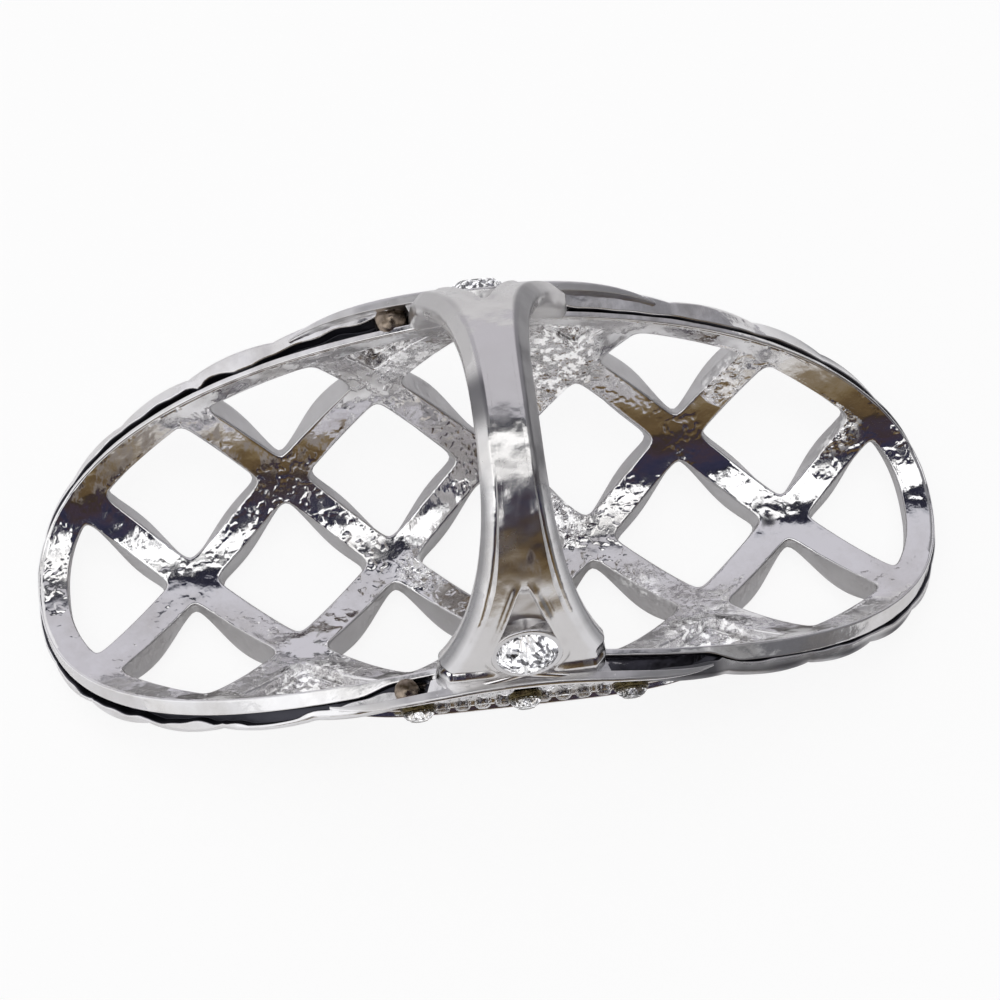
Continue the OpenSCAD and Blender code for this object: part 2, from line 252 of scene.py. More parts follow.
class RingSizes(bpy.types.PropertyGroup):
    """The ring's driving sizes."""

    finger_radius: length_of("Finger hole radius", "Radius of the finger hole", 8.65)
    rim_half_length: length_of("Rim half length", "Half the length of the rim's inner edge", 23.2)
    rim_climb: angle_of("Rim climb", "Angle that the rim climbs to at each shoulder", 100)
    rim_face: length_of("Rim face", "Width of the rim's plain inner face", 1.5)
    lip: length_of("Lip", "Thickness of the rim's thin inner lip", 0.35)
    groove_width: length_of("Groove width", "Width of the groove between the lip and the petals", 0.22)
    groove_depth: length_of("Groove depth", "Depth of that groove", 0.45)
    pocket_width: length_of("Pocket width", "How much wider the groove is beside the shoulders", 0.65)
    pocket_depth: length_of("Pocket depth", "Depth of the groove beside the shoulders", 1.0)
    petal_root: length_of("Petal root", "Depth of the petals' outer face at the notches", 1.4)
    petal_swell: length_of("Petal swell", "How far each petal swells past its notches", 0.2)
    petal_count: bpy.props.IntProperty(
        name="Petals", description="Number of petals round the rim", default=28, min=4)
    column_pitch: length_of("Column pitch", "Distance between one column of crossings and the next", 5.13)
    row_angle: angle_of("Row angle", "Angle between one row of crossings and the next", 31.9)
    bar_width: length_of("Bar width", "Width of a bar's inner face", 1.6)
    bar_swell: length_of(
        "Bar swell", "How far a bar's outer face swells past its inner one on each side", 0.27)
    crossing_thickness: length_of("Crossing thickness", "Thickness of the lattice at a crossing", 0.9)
    bar_thickness: length_of("Bar thickness", "Thickness of a bar at its middle", 1.45)
    shank_width: length_of("Shank width", "Width of the shank at its narrowest", 3.0)
    shank_spread: length_of("Shank spread", "How much wider the shank is where it reaches the rim", 8.6)
    shank_thickness: length_of("Shank thickness", "Thickness of the shank", 1.35)
    shank_bevel: length_of("Shank bevel", "Width of the bevel along each side of the shank", 0.5)
    fork_angle: angle_of("Fork angle", "Angle from the shank's top to the point of the fork", 46.5)
    fork_depth: length_of("Fork depth", "Depth of the fork's recess", 0.5)
    leaf_length: length_of("Leaf length", "Length of the leaf outside each shoulder", 18.6)
    leaf_height: length_of("Leaf height", "Height of the leaf at its middle", 4.0)
    leaf_thickness: length_of("Leaf thickness", "Thickness of the leaf", 0.55)
    fork_stone: length_of("Fork stone", "Diameter of the round stone in each fork", 3.0)
    leaf_stone: length_of("Leaf stone", "Diameter of the stones along each leaf", 1.5)
    pave_stone: length_of("Pave stone", "Diameter of the small stones", 0.8)


class RingFinishes(bpy.types.PropertyGroup):
    """The ring's colours."""

    plate: colour_of("Plate", "Colour of the bright plate", (0.93, 0.925, 0.935))
    worn_plate: colour_of("Worn plate", "Colour of the plate where it is thin", (0.78, 0.765, 0.755))
    clear_stone: colour_of("Clear stone", "Colour of the clear stones", (0.97, 0.97, 0.99))
    side_wall: colour_of("Side walls", "Colour of the unpolished side walls", (0.51, 0.50, 0.505))
    # Near-black painted shade: the plate blends to this colour through the sunk mark, in the groove, in pits,
    # on petal patches and along the shank's edges
    groove: colour_of("Groove", "Colour of the blackened groove", (0.03, 0.03, 0.045))
    silver_foil: colour_of("Silver foil", "Colour of the foil behind the clear stones", (0.93, 0.93, 0.95))
    worn_foil: colour_of("Worn foil", "Colour of that foil where it is worn", (0.45, 0.44, 0.45))
    # The brown foil is the foil behind the leaf stones, and also the collars' colour under them, where its
    # deep brown is painted shade
    brown_foil: colour_of("Brown foil", "Colour of the foil behind the leaf stones", (0.13, 0.105, 0.05))
    pocket_back: colour_of(
        "Pocket back", "Colour of the rounded backs that show in two pockets", (0.33, 0.27, 0.22))
    worn_brown_foil: colour_of(
        "Worn brown foil", "Colour of the brown foil where it is worn", (0.07, 0.05, 0.03))


class StudioSettings(bpy.types.PropertyGroup):
    """The camera and the light round the ring."""

    camera_tilt: angle_of(
        "Camera tilt", "Angle of the view from straight above towards the near side", 19.64)
    camera_swing: angle_of("Camera swing", "Angle of the view along the finger", 5.0)
    camera_roll: angle_of("Camera roll", "Turn of the picture", 7.787)
    camera_distance: bpy.props.FloatProperty(
        name="Camera distance", description="Distance from the finger hole's axis",
        default=140 * MM, unit="LENGTH")
    focal_length: bpy.props.FloatProperty(
        name="Focal length", description="Focal length in millimetres", default=103.47, unit="CAMERA")
    softbox_power: bpy.props.FloatProperty(
        name="Softbox power", description="Power of the soft light overhead, in watts", default=4.0,
        subtype="POWER")
    floor_color: colour_of("Floor", "Colour of the floor", (0.9, 0.9, 0.9))


def sizes():
    return bpy.context.scene.ring_sizes


def leaf_inner():
    """Depth of the leaf's back, just under the petals' roots."""
    return sizes().petal_root - 0.1 * MM


def leaf_face():
    return leaf_inner() + sizes().leaf_thickness


def axis_height():
    """Height of the finger hole's axis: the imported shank's top, less its thickness and the hole's radius."""
    return CAD_BOX[1][2] - sizes().finger_radius - sizes().shank_thickness + AXIS_TRIM


def on_ring(x, angle, depth):
    """A cylinder's points: x along the finger, the angle from the face's middle and the depth outward."""
    x, angle, depth = np.broadcast_arrays(x, angle, depth)
    radius = sizes().finger_radius + depth
    return np.stack([x, radius * np.sin(angle), axis_height() - radius * np.cos(angle)], axis=-1)


def standing_on(x, angle, points):
    """Points given as along, round and outward from a place on the ring, on its flat tangent plane."""
    along, round_, outward = np.moveaxis(np.asarray(points), -1, 0)
    radius = sizes().finger_radius + outward
    return np.stack([
        x + along,
        radius * math.sin(angle) + round_ * math.cos(angle),
        axis_height() - radius * math.cos(angle) + round_ * math.sin(angle),
    ], axis=-1)


def smooth_step(value, low, high):
    share = np.clip((value - low) / (high - low), 0, 1)
    return share * share * (3 - 2 * share)


def band(value, start, full, fading, end):
    """1 from full to fading, falling smoothly to 0 at start and at end."""
    return smooth_step(value, start, full) * smooth_step(-value, -end, -fading)


def rim_climb_at(x):
    """The rim's angle at x: the climb times a blunted power of what is left of the half length."""
    left = np.clip(1 - (np.abs(x) / sizes().rim_half_length) ** RIM_FULLNESS, 0, 1)
    return sizes().rim_climb * left ** (1 / RIM_BLUNTNESS)


def rim_edge(t):
    """The rim's inner edge in the flattened surface: x is a cosine, and the arc the climb at that x."""
    x = sizes().rim_half_length * np.cos(t)
    return np.stack([x, np.sign(np.sin(t)) * rim_climb_at(x) * sizes().finger_radius], axis=-1)


def rim_line(t, out):
    """The rim's edge moved outward by `out`, square to itself."""
    step = rim_edge(t + EDGE_STEP) - rim_edge(t - EDGE_STEP)
    normal = np.stack([step[..., 1], -step[..., 0]], axis=-1)
    normal /= np.linalg.norm(normal, axis=-1, keepdims=True)
    return rim_edge(t)[..., None, :] + np.asarray(out)[..., None] * normal[..., None, :]


def face_width(x):
    """Width of the rim's plain inner face, which narrows along the shoulders."""
    return sizes().rim_face - SHOULDER_FACE_CUT * (1 - smooth_step(np.abs(x), *SHOULDER_TO_END))


def inside_face(points):
    """How far points of the flattened surface lie past the rim's inner face, towards the middle."""
    return rim_gap(points) - face_width(points[..., 0])


def rim_gap(points):
    """How far points of the flattened surface lie inside the rim's edge: the way to its nearest sample."""
    edge = rim_edge(np.linspace(0, TURN, RIM_SAMPLES, endpoint=False))
    gap = np.linalg.norm(points[..., None, :] - edge, axis=-1).min(axis=-1)
    inside = np.abs(points[..., 1]) < rim_climb_at(points[..., 0]) * sizes().finger_radius
    return np.where(inside, gap, -gap)


def rounded(section, radius, steps=4):
    """A closed outline with each corner turned to a quadratic curve that starts `radius` along its sides.

    One more point further along each side keeps the flat stretch flat. Short sides give less."""
    def toward(other, share):
        way = other - section
        length = np.maximum(np.linalg.norm(way, axis=-1, keepdims=True), 1e-9)
        return section + way * np.minimum(share * radius / length, 0.3 + 0.12 * share)

    radius = np.broadcast_to(np.asarray(radius, float), section.shape[:-1])[..., None]
    before, after = np.roll(section, 1, axis=-2), np.roll(section, -1, axis=-2)
    start, end = toward(before, 1.0), toward(after, 1.0)
    u = np.linspace(0, 1, steps + 1)[:, None]
    curve = ((1 - u) ** 2 * start[..., None, :] + 2 * u * (1 - u) * section[..., None, :]
             + u ** 2 * end[..., None, :])
    support = [toward(before, 1.5)[..., None, :], curve, toward(after, 1.5)[..., None, :]]
    points = np.concatenate(support, axis=-2)
    return points.reshape(*section.shape[:-2], -1, 2)


def section_of(corners):
    """A rounded section for each station, from corners of two coordinates and a radius in mm."""
    section = np.stack([np.stack(corner[:2], axis=-1) for corner in corners], axis=1)
    return rounded(section, np.array([corner[2] for corner in corners]) * MM)


def grid_faces(rows, columns, closed_rows=False, closed_columns=False):
    """The four-sided faces of a grid of points, closed on itself where asked."""
    i = np.arange(rows if closed_rows else rows - 1)[:, None]
    j = np.arange(columns if closed_columns else columns - 1)[None, :]
    i_next, j_next = (i + 1) % rows, (j + 1) % columns
    corners = [i * columns + j, i * columns + j_next, i_next * columns + j_next, i_next * columns + j]
    return np.stack(np.broadcast_arrays(*corners), axis=-1).reshape(-1, 4)


def capped_faces(rows, columns):
    """The faces of a section carried from its first row to its last, both closed by a cap."""
    caps = [list(range(columns)), list(range((rows - 1) * columns, rows * columns))]
    return grid_faces(rows, columns, closed_columns=True).tolist() + caps


def joined(parts):
    """Several (points, faces) shapes as one."""
    points, faces, count = [], [], 0
    for part_points, part_faces in parts:
        part_points = part_points.reshape(-1, 3)
        points.append(part_points)
        faces.extend((np.asarray(face) + count).tolist() for face in part_faces)
        count += len(part_points)
    return np.concatenate(points), faces


def add_piece(name, shape, material, nodes, flat=False, back=None):
    """A mesh object from points, faces and marks, welded and turned outward, riding on the body."""
    points, faces, marks = (*shape, {}) if len(shape) == 2 else shape
    mesh = bpy.data.meshes.new(name)
    mesh.from_pydata(points.reshape(-1, 3).tolist(), [], [list(face) for face in faces])
    mesh.materials.append(material)
    if back:
        mesh.materials.append(back)
        on_back = np.arange(len(faces)) % STONE_FACES >= CLEAR_FACES
        mesh.polygons.foreach_set("material_index", on_back.astype(np.int32))
    for mark, values in marks.items():
        mesh.attributes.new(mark, "FLOAT", "POINT").data.foreach_set("value", values.reshape(-1))
    work = bmesh.new()
    work.from_mesh(mesh)
    bmesh.ops.remove_doubles(work, verts=work.verts, dist=0.0005 * MM)
    bmesh.ops.recalc_face_normals(work, faces=work.faces)
    work.to_mesh(mesh)
    work.free()
    mesh.polygons.foreach_set("use_smooth", np.full(len(mesh.polygons), not flat))
    mesh.update()
    piece = bpy.data.objects.new(name, mesh)
    bpy.context.scene.collection.objects.link(piece)
    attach(piece, BODY)
    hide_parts(*nodes)


def crossing(column, row):
    """A crossing of the lattice in the flattened surface."""
    s = sizes()
    return np.array([column * s.column_pitch, row * s.row_angle * s.finger_radius])


def cell_sides(column, row):
    """A diamond cell's four sides, each as its two crossings' columns and rows."""
    corners = [(column + dc, row + dr) for dc, dr in CORNERS]
    return list(zip(corners, corners[1:] + corners[:1]))


def is_bar(start, end):
    """Whether a side is a bar: the crossing nearer the middle line lies within the lattice."""
    column, row = min(start, end, key=lambda place: abs(place[1]))
    return abs(column) + abs(row) <= 3 and abs(row) <= 2


def has_hole(column, row):
    return abs(column) + abs(row) <= 4 and abs(row) <= 3


def is_recess(column, row):
    """The holes that a plate closes from behind: those beside the feet, and two on the near side."""
    return (abs(column), abs(row)) == (1, 3) or (abs(column), row) == (2, -2)


def rim_exit(start, end):
    """Where a straight line from inside leaves the slab, found by halving."""
    low, high = 0.0, 1.0
    for _ in range(EXIT_HALVINGS):
        middle = (low + high) / 2
        if rim_gap(start + middle * (end - start)) > SLAB_INSET:
            low = middle
        else:
            high = middle
    return start + low * (end - start)


def slab_arc(start, end):
    """The slab's edge between two of its points: the rim's edge moved in, the short way round."""
    t = np.linspace(0, TURN, 4 * RIM_SAMPLES, endpoint=False)
    line = rim_line(t, -SLAB_INSET)[:, 0]
    first, last = (t[np.linalg.norm(line - p, axis=-1).argmin()] for p in (start, end))
    sweep = (last - first + math.pi) % TURN - math.pi
    inner = first + sweep * np.linspace(0, 1, 2 * SIDE_STEPS + 1)[1:-1]
    return np.concatenate([start[None], rim_line(inner, -SLAB_INSET)[:, 0]])


def cell_border(column, row):
    """A cell's border, counterclockwise: its diamond, cut by the slab's edge.

    It also says which steps run on that edge."""
    sides = cell_sides(column, row)
    inside = [bool(rim_gap(crossing(*start)) > SLAB_INSET) for start, _ in sides]
    if not any(inside):
        return None, None
    first = inside.index(True)
    points, on_rim, left = [], [], None
    for i in range(4):
        start, end = (crossing(*place) for place in sides[(first + i) % 4])
        start_in, end_in = inside[(first + i) % 4], inside[(first + i + 1) % 4]
        if not (start_in or end_in):
            continue
        if not start_in:
            start = rim_exit(end, start)
        if not end_in:
            end = rim_exit(start, end)
        if left is not None:
            arc = slab_arc(left, start)
            points.append(arc)
            on_rim += [True] * len(arc)
            left = None
        share = np.linspace(0, 1, SIDE_STEPS, endpoint=False)[:, None]
        points.append(start + share * (end - start))
        on_rim += [False] * SIDE_STEPS
        if not end_in:
            left = end
    return np.concatenate(points), np.array(on_rim)


def cell_walls(column, row):
    """The outward normals and reaches of a cell's bars, as straight walls of the hole."""
    walls = []
    for (start, end), a, b in zip(cell_sides(column, row), CORNERS, CORNERS[1:] + CORNERS[:1]):
        if is_bar(start, end):
            normal = (np.array(a) + b) / crossing(1, 1)
            normal /= np.linalg.norm(normal)
            walls.append((normal, normal @ crossing(*start) - sizes().bar_width / 2))
    if (column, row) == WEB_CELL:
        walls.append((np.array([1.0, 0.0]), WEB_REACH))
    return walls


def hole_centre(column, row):
    """The middle of a cell's open part, as the mean of an even grid's points that lie in it."""
    side = np.linspace(-1, 1, 61)
    grid = crossing(column, row) + np.stack(np.meshgrid(side, side), axis=-1).reshape(-1, 2) * crossing(1, 1)
    open_ = inside_face(grid) > 0
    for normal, reach in cell_walls(column, row):
        open_ &= grid @ normal < reach
    return grid[open_].mean(axis=0)


def hole_reach(column, row, centre, toward, limit):
    """The way from a hole's centre to its edge: a soft minimum of the ways to its bars and the rim."""
    total = np.zeros(len(toward))
    for normal, reach in cell_walls(column, row):
        total += np.clip(toward @ normal / (reach - centre @ normal), 0, None) ** CORNER_POWER
    low, high = np.zeros(len(toward)), limit.copy()
    for _ in range(HOLE_HALVINGS):
        middle = (low + high) / 2
        inside = inside_face(centre + middle[:, None] * toward) > 0
        low, high = np.where(inside, middle, low), np.where(inside, high, middle)
    total += low ** -CORNER_POWER
    return total ** (-1 / CORNER_POWER)


def lattice_depth(points):
    """Depth of the lattice's outer face: a squared sine, full at the bars' middles, thin under the rim."""
    s = sizes()
    bulge = np.sin(math.pi * points[..., 0] / s.column_pitch) ** 2
    depth = s.crossing_thickness + (s.bar_thickness - s.crossing_thickness) * bulge
    under_rim = np.interp(inside_face(points), SLAB_UNDER_RIM, (SLAB_THIN, s.bar_thickness))
    return np.minimum(depth, under_rim)


def side_by_side(*parts):
    """The parts of a profile next to each other, each with a row for each station or one for all."""
    rows = max(len(part) for part in parts if np.ndim(part) == 2)
    return np.concatenate([np.broadcast_to(part, (rows, np.shape(part)[-1])) for part in parts], axis=1)


def over_edge(inner, full):
    """The ways from a cell's border over its inner face, and round the hole's edge."""
    return full + FLAT * (inner + EDGE_FADE - full), inner + EDGE_ROUND * (1 - np.sin(QUARTER_TURN))


def recess_cell(column, row, centre, toward, full):
    """A hole that a plate closes: its wall drops to a floor of cups, with a plain back.

    The cups are the product of two cosines. It gives the points, depths, side walls and rough places."""
    inner = hole_reach(column, row, centre, toward, full)[:, None]
    full = full[:, None]
    floor = inner * np.linspace(1, 0, 16)
    back = full * np.linspace(0, 1, 12)
    ways = side_by_side(*over_edge(inner, full), inner + 0 * RECESS_WALL, floor, back)
    points = centre + ways[..., None] * toward[:, None]
    cups = np.cos(TURN * points[:, RECESS_COLUMNS, 0] / CUP_PITCH)
    cups = cups * np.cos(TURN * points[:, RECESS_COLUMNS, 1] / CUP_PITCH)
    plain = lattice_depth(points[:, RECESS_COLUMNS.stop:])
    depth = side_by_side(
        0 * FLAT,
        EDGE_ROUND * (1 - np.cos(QUARTER_TURN)),
        EDGE_ROUND + (RECESS_FLOOR - EDGE_ROUND) * RECESS_WALL,
        RECESS_FLOOR + CUP_DEPTH * cups * smooth_step(1 - floor / inner, 0, 0.25),
        plain + (RECESS_BACK - plain) * smooth_step(inner + RECESS_RIM - back, 0, RECESS_RIM),
    )
    side, rough = np.zeros(ways.shape), np.zeros(ways.shape)
    side[:, RECESS_COLUMNS.start - 5:RECESS_COLUMNS.start] = 0.2
    rough[:, RECESS_COLUMNS] = 1
    return points, depth, side, rough


def open_cell(column, row, centre, toward, full):
    """An open hole: over the inner face, round the edge, down the flared wall and back over the outer face.

    The flare is a power of a sine along the bars, which makes each outer face a leaf."""
    s = sizes()
    inner = hole_reach(column, row, centre, toward, full)
    edge = centre + inner[:, None] * toward
    lens = np.abs(np.sin(math.pi * edge[:, 0] / s.column_pitch)) ** LEAF_POWER
    lens *= smooth_step(inside_face(edge), 0, 0.4 * MM)
    outer = inner - s.bar_swell * lens
    deep = lattice_depth(centre + outer[:, None] * toward)[:, None]
    full, inner, outer = full[:, None], inner[:, None], outer[:, None]
    ways = side_by_side(
        *over_edge(inner, full),
        inner + OPEN_WALL * (outer - inner),
        outer + EDGE_ROUND * (1 - np.sin(QUARTER_TURN))[::-1],
        outer + EDGE_FADE + FLAT * (full - outer - EDGE_FADE),
    )
    points = centre + ways[..., None] * toward[:, None]
    drop = EDGE_ROUND * (1 - np.cos(QUARTER_TURN))
    depth = side_by_side(
        0 * FLAT,
        drop,
        EDGE_ROUND + OPEN_WALL * (deep - 2 * EDGE_ROUND),
        deep - drop[::-1],
        lattice_depth(points[:, -len(FLAT):]),
    )
    side = np.zeros(ways.shape)
    side[:, len(FLAT) + 2:-len(FLAT) - 2] = 1
    return points, depth, side, 0


def closed_cell(column, row, centre, toward, full):
    """A cell without a hole: its inner and its outer face, each straight from the border to the middle."""
    ways = full[:, None] * np.concatenate([1 - FLAT, FLAT])
    points = centre + ways[..., None] * toward[:, None]
    depth = np.zeros(ways.shape)
    depth[:, len(FLAT):] = lattice_depth(points[:, len(FLAT):])
    return points, depth, np.zeros(ways.shape), 0


def lattice_cell(column, row):
    """One cell of the lattice: a profile of its half bars carried round the cell's middle."""
    border, on_rim = cell_border(column, row)
    if border is None:
        return None
    make, centre = closed_cell, border.mean(axis=0)
    if has_hole(column, row):
        make = recess_cell if is_recess(column, row) else open_cell
        centre = hole_centre(column, row)
    full = np.linalg.norm(border - centre, axis=-1)
    toward = (border - centre) / full[:, None]
    points, depth, side, floor_rough = make(column, row, centre, toward, full)
    rows, columns = depth.shape
    faces = grid_faces(rows, columns, closed_rows=True)
    if make is closed_cell:
        faces = faces[faces[:, 0] % columns != len(FLAT) - 1]
    here = np.arange(rows)[on_rim] * columns
    after = (here + columns) % (rows * columns)
    strip = np.stack([here, after, after + columns - 1, here + columns - 1], axis=-1)
    x, angle = points[..., 0], points[..., 1] / sizes().finger_radius
    inner_side = depth < INNER_SIDE
    rough = np.maximum(rough_share(x, angle) * inner_side, floor_rough)
    # The pits are sunk, and their share also darkens the plate there as painted shade
    pit = pit_share(x, angle) * inner_side
    return on_ring(x, angle, depth + PIT_DEPTH * pit), np.concatenate([faces, strip]), side, rough, pit


def away_from(x, angle, at, degrees, along=1, round_=1):
    """The distance from a place, in mm or in half sizes along the finger and round it."""
    arc = (angle - math.radians(degrees)) * sizes().finger_radius / MM
    return np.hypot((x / MM - at) / along, arc / round_)


def pit_share(x, angle):
    """How deep the nearest pit is at a place: a bell curve of the distance from its middle."""
    shares = [np.exp(-(away_from(x, angle, at, degrees) / radius) ** 4) for at, degrees, radius in PITS]
    return np.max(shares, axis=0)


def rough_share(x, angle):
    """How rough the casting's skin is at a place: soft-edged ovals."""
    shares = [strength * (1 - smooth_step(away_from(x, angle, *place), 0.65, 1.15))
              for *place, strength in ROUGH_PLACES]
    return np.max(shares, axis=0)


def lattice_shape():
    """All the lattice's cells, which share their borders."""
    columns, rows = range(-COLUMNS_OUT, COLUMNS_OUT + 1), range(-ROWS_OUT, ROWS_OUT + 1)
    places = [(column, row) for column in columns for row in rows if (column + row) % 2 == 0]
    cells = [cell for cell in (lattice_cell(*place) for place in places) if cell is not None]
    points, faces = joined([cell[:2] for cell in cells])
    side, rough, pit = (np.concatenate([cell[k].reshape(-1) for cell in cells]) for k in (2, 3, 4))
    # The pits' share is also the sunk mark, which paints their shade
    marks = {"side_wall": side, "rough_cast": rough, "pitted": np.ones(len(points)), "sunk": pit}
    return points, faces, marks


def pocket_share(x, far):
    """How far the groove is open to a pocket: most beside the foot, falling to 0, and -1 at the foot."""
    start, end, width, power = np.moveaxis(np.array(POCKETS)[far.astype(int), (x > 0).astype(int)], -1, 0)
    along = np.abs(x) / MM
    share = np.clip((end - along) / (end - start), 0, 1) ** power
    return np.where(along < start, -1, share * width)


def groove_width(t):
    """The groove's width, which differs by quarter, changes smoothly round the rim's tips and is uneven.

    The unevenness is a sum of three sines, and each change of width is a bell curve along x."""
    near, far = np.array(GROOVES)[:, (np.cos(t) > 0).astype(int)] * MM
    width = near + (far - near) * smooth_step(np.sin(t), -0.3, 0.3)
    width = width * (1 + sum(share * np.sin(waves * t + lag) for share, waves, lag in GROOVE_WAVES))
    x = sizes().rim_half_length * np.cos(t) / MM
    for side, at, reach, change in GROOVE_CHANGES:
        width = width + (np.sign(np.sin(t)) == side) * change * MM * np.exp(-((x - at) / reach) ** 2)
    return np.maximum(width, 0.02 * MM)


def lip_width(t):
    """The lip's width, which is larger on the near side outside the pockets, smoothly round the tips."""
    s = sizes()
    width, reached = np.array(NEAR_LIPS)[(np.cos(t) > 0).astype(int)].T * MM
    along = np.abs(s.rim_half_length * np.cos(t))
    share = smooth_step(along, reached - 2 * MM, reached) * smooth_step(-np.sin(t), -0.3, 0.3)
    return s.lip + (width - s.lip) * share


def rim_shape():
    """The rim: its section of lip, groove, petal edge and outer face, carried round its inner edge.

    The petals swell between their notches as the absolute value of a sine."""
    s = sizes()
    t = np.linspace(0, TURN, s.petal_count * STATIONS_PER_PETAL, endpoint=False)
    x = s.rim_half_length * np.cos(t)
    swell = s.petal_swell * np.abs(np.sin(t * s.petal_count / 2)) ** 0.8
    face = s.petal_root + swell
    rise = 0.08 * MM + 0.35 * swell
    pocket = pocket_share(x, np.sin(t) > 0)
    at_foot = pocket < 0
    pocket = np.maximum(pocket, 0)
    groove = np.where(at_foot, 0.09 * MM, np.maximum(s.groove_depth, s.pocket_depth * np.sqrt(pocket)))
    lip = lip_width(t)
    inner = lip + np.where(at_foot, s.groove_width, groove_width(t)) + s.pocket_width * pocket
    inner = np.minimum(inner, face - 0.3 * MM)
    zero = np.zeros(len(t))
    back = face_width(x) - RIM_BACK
    # A corner's last value marks the groove's sides and floor, which the plate blackens as painted shade
    corners = [
        (-back, zero + HAIR, 0.02, 0),
        (zero, zero + HAIR, 0.09, 0),
        (zero, lip, 0.09, 0),
        (zero - 0.07 * MM, lip, 0.02, 1),
        (-groove, lip, 0.04, 1),
        (-groove, inner, 0.04, 1),
        (rise - 0.1 * MM, inner, 0.03, 1),
        (rise, inner + 0.06 * MM, 0.03, 0),
        (rise, face - 0.12 * MM, 0.12, 0),
        (rise - 0.14 * MM, face, 0.12, 0),
        (zero - face_width(x) / 2, face, 0.3, 0),
        (-back, zero + s.crossing_thickness, 0.1, 0),
    ]
    section = section_of(corners)
    place = rim_line(t, section[..., 0])
    points = on_ring(place[..., 0], place[..., 1] / s.finger_radius, section[..., 1])
    number = np.arange(section.shape[1]) // CORNER_POINTS
    petal, outside = number >= FIRST_PETAL_CORNER, number >= FIRST_OUTER_CORNER
    # The sunk mark paints shade: the groove, the patch beside the near right foot and the patches on the outer
    # faces towards the right tip
    sunk = np.where(at_foot[:, None], 0, np.array([corner[3] for corner in corners])[number])
    near = np.sin(t) < 0
    painted_shade_beside_foot = 0.85 * near * band(x / MM, *FOOT_PAINTED_SHADE)
    painted_shade_towards_tip = np.where(near, *(band(x / MM, *patch) for patch in OUTER_PAINTED_SHADES))
    painted_shade_towards_tip = 0.8 * painted_shade_towards_tip * (0.75 + 0.25 * np.sin(31 * t))
    sunk = np.maximum(sunk, np.maximum(painted_shade_beside_foot[:, None] * petal, painted_shade_towards_tip[:, None] * outside))
    dull = 0.3 * smooth_step(x, 4 * MM, 8 * MM) * smooth_step(-np.sin(t), -0.1, 0.2)
    faces = grid_faces(*section.shape[:2], closed_rows=True, closed_columns=True)
    return points, faces, {"sunk": sunk, "side_wall": dull[:, None] * petal}


def shank_half_width(from_top):
    """The shank's half width grows with about the cube of its angle from the top."""
    s = sizes()
    return s.shank_width / 2 + s.shank_spread / 2 * (np.abs(from_top) / math.radians(90)) ** 2.7


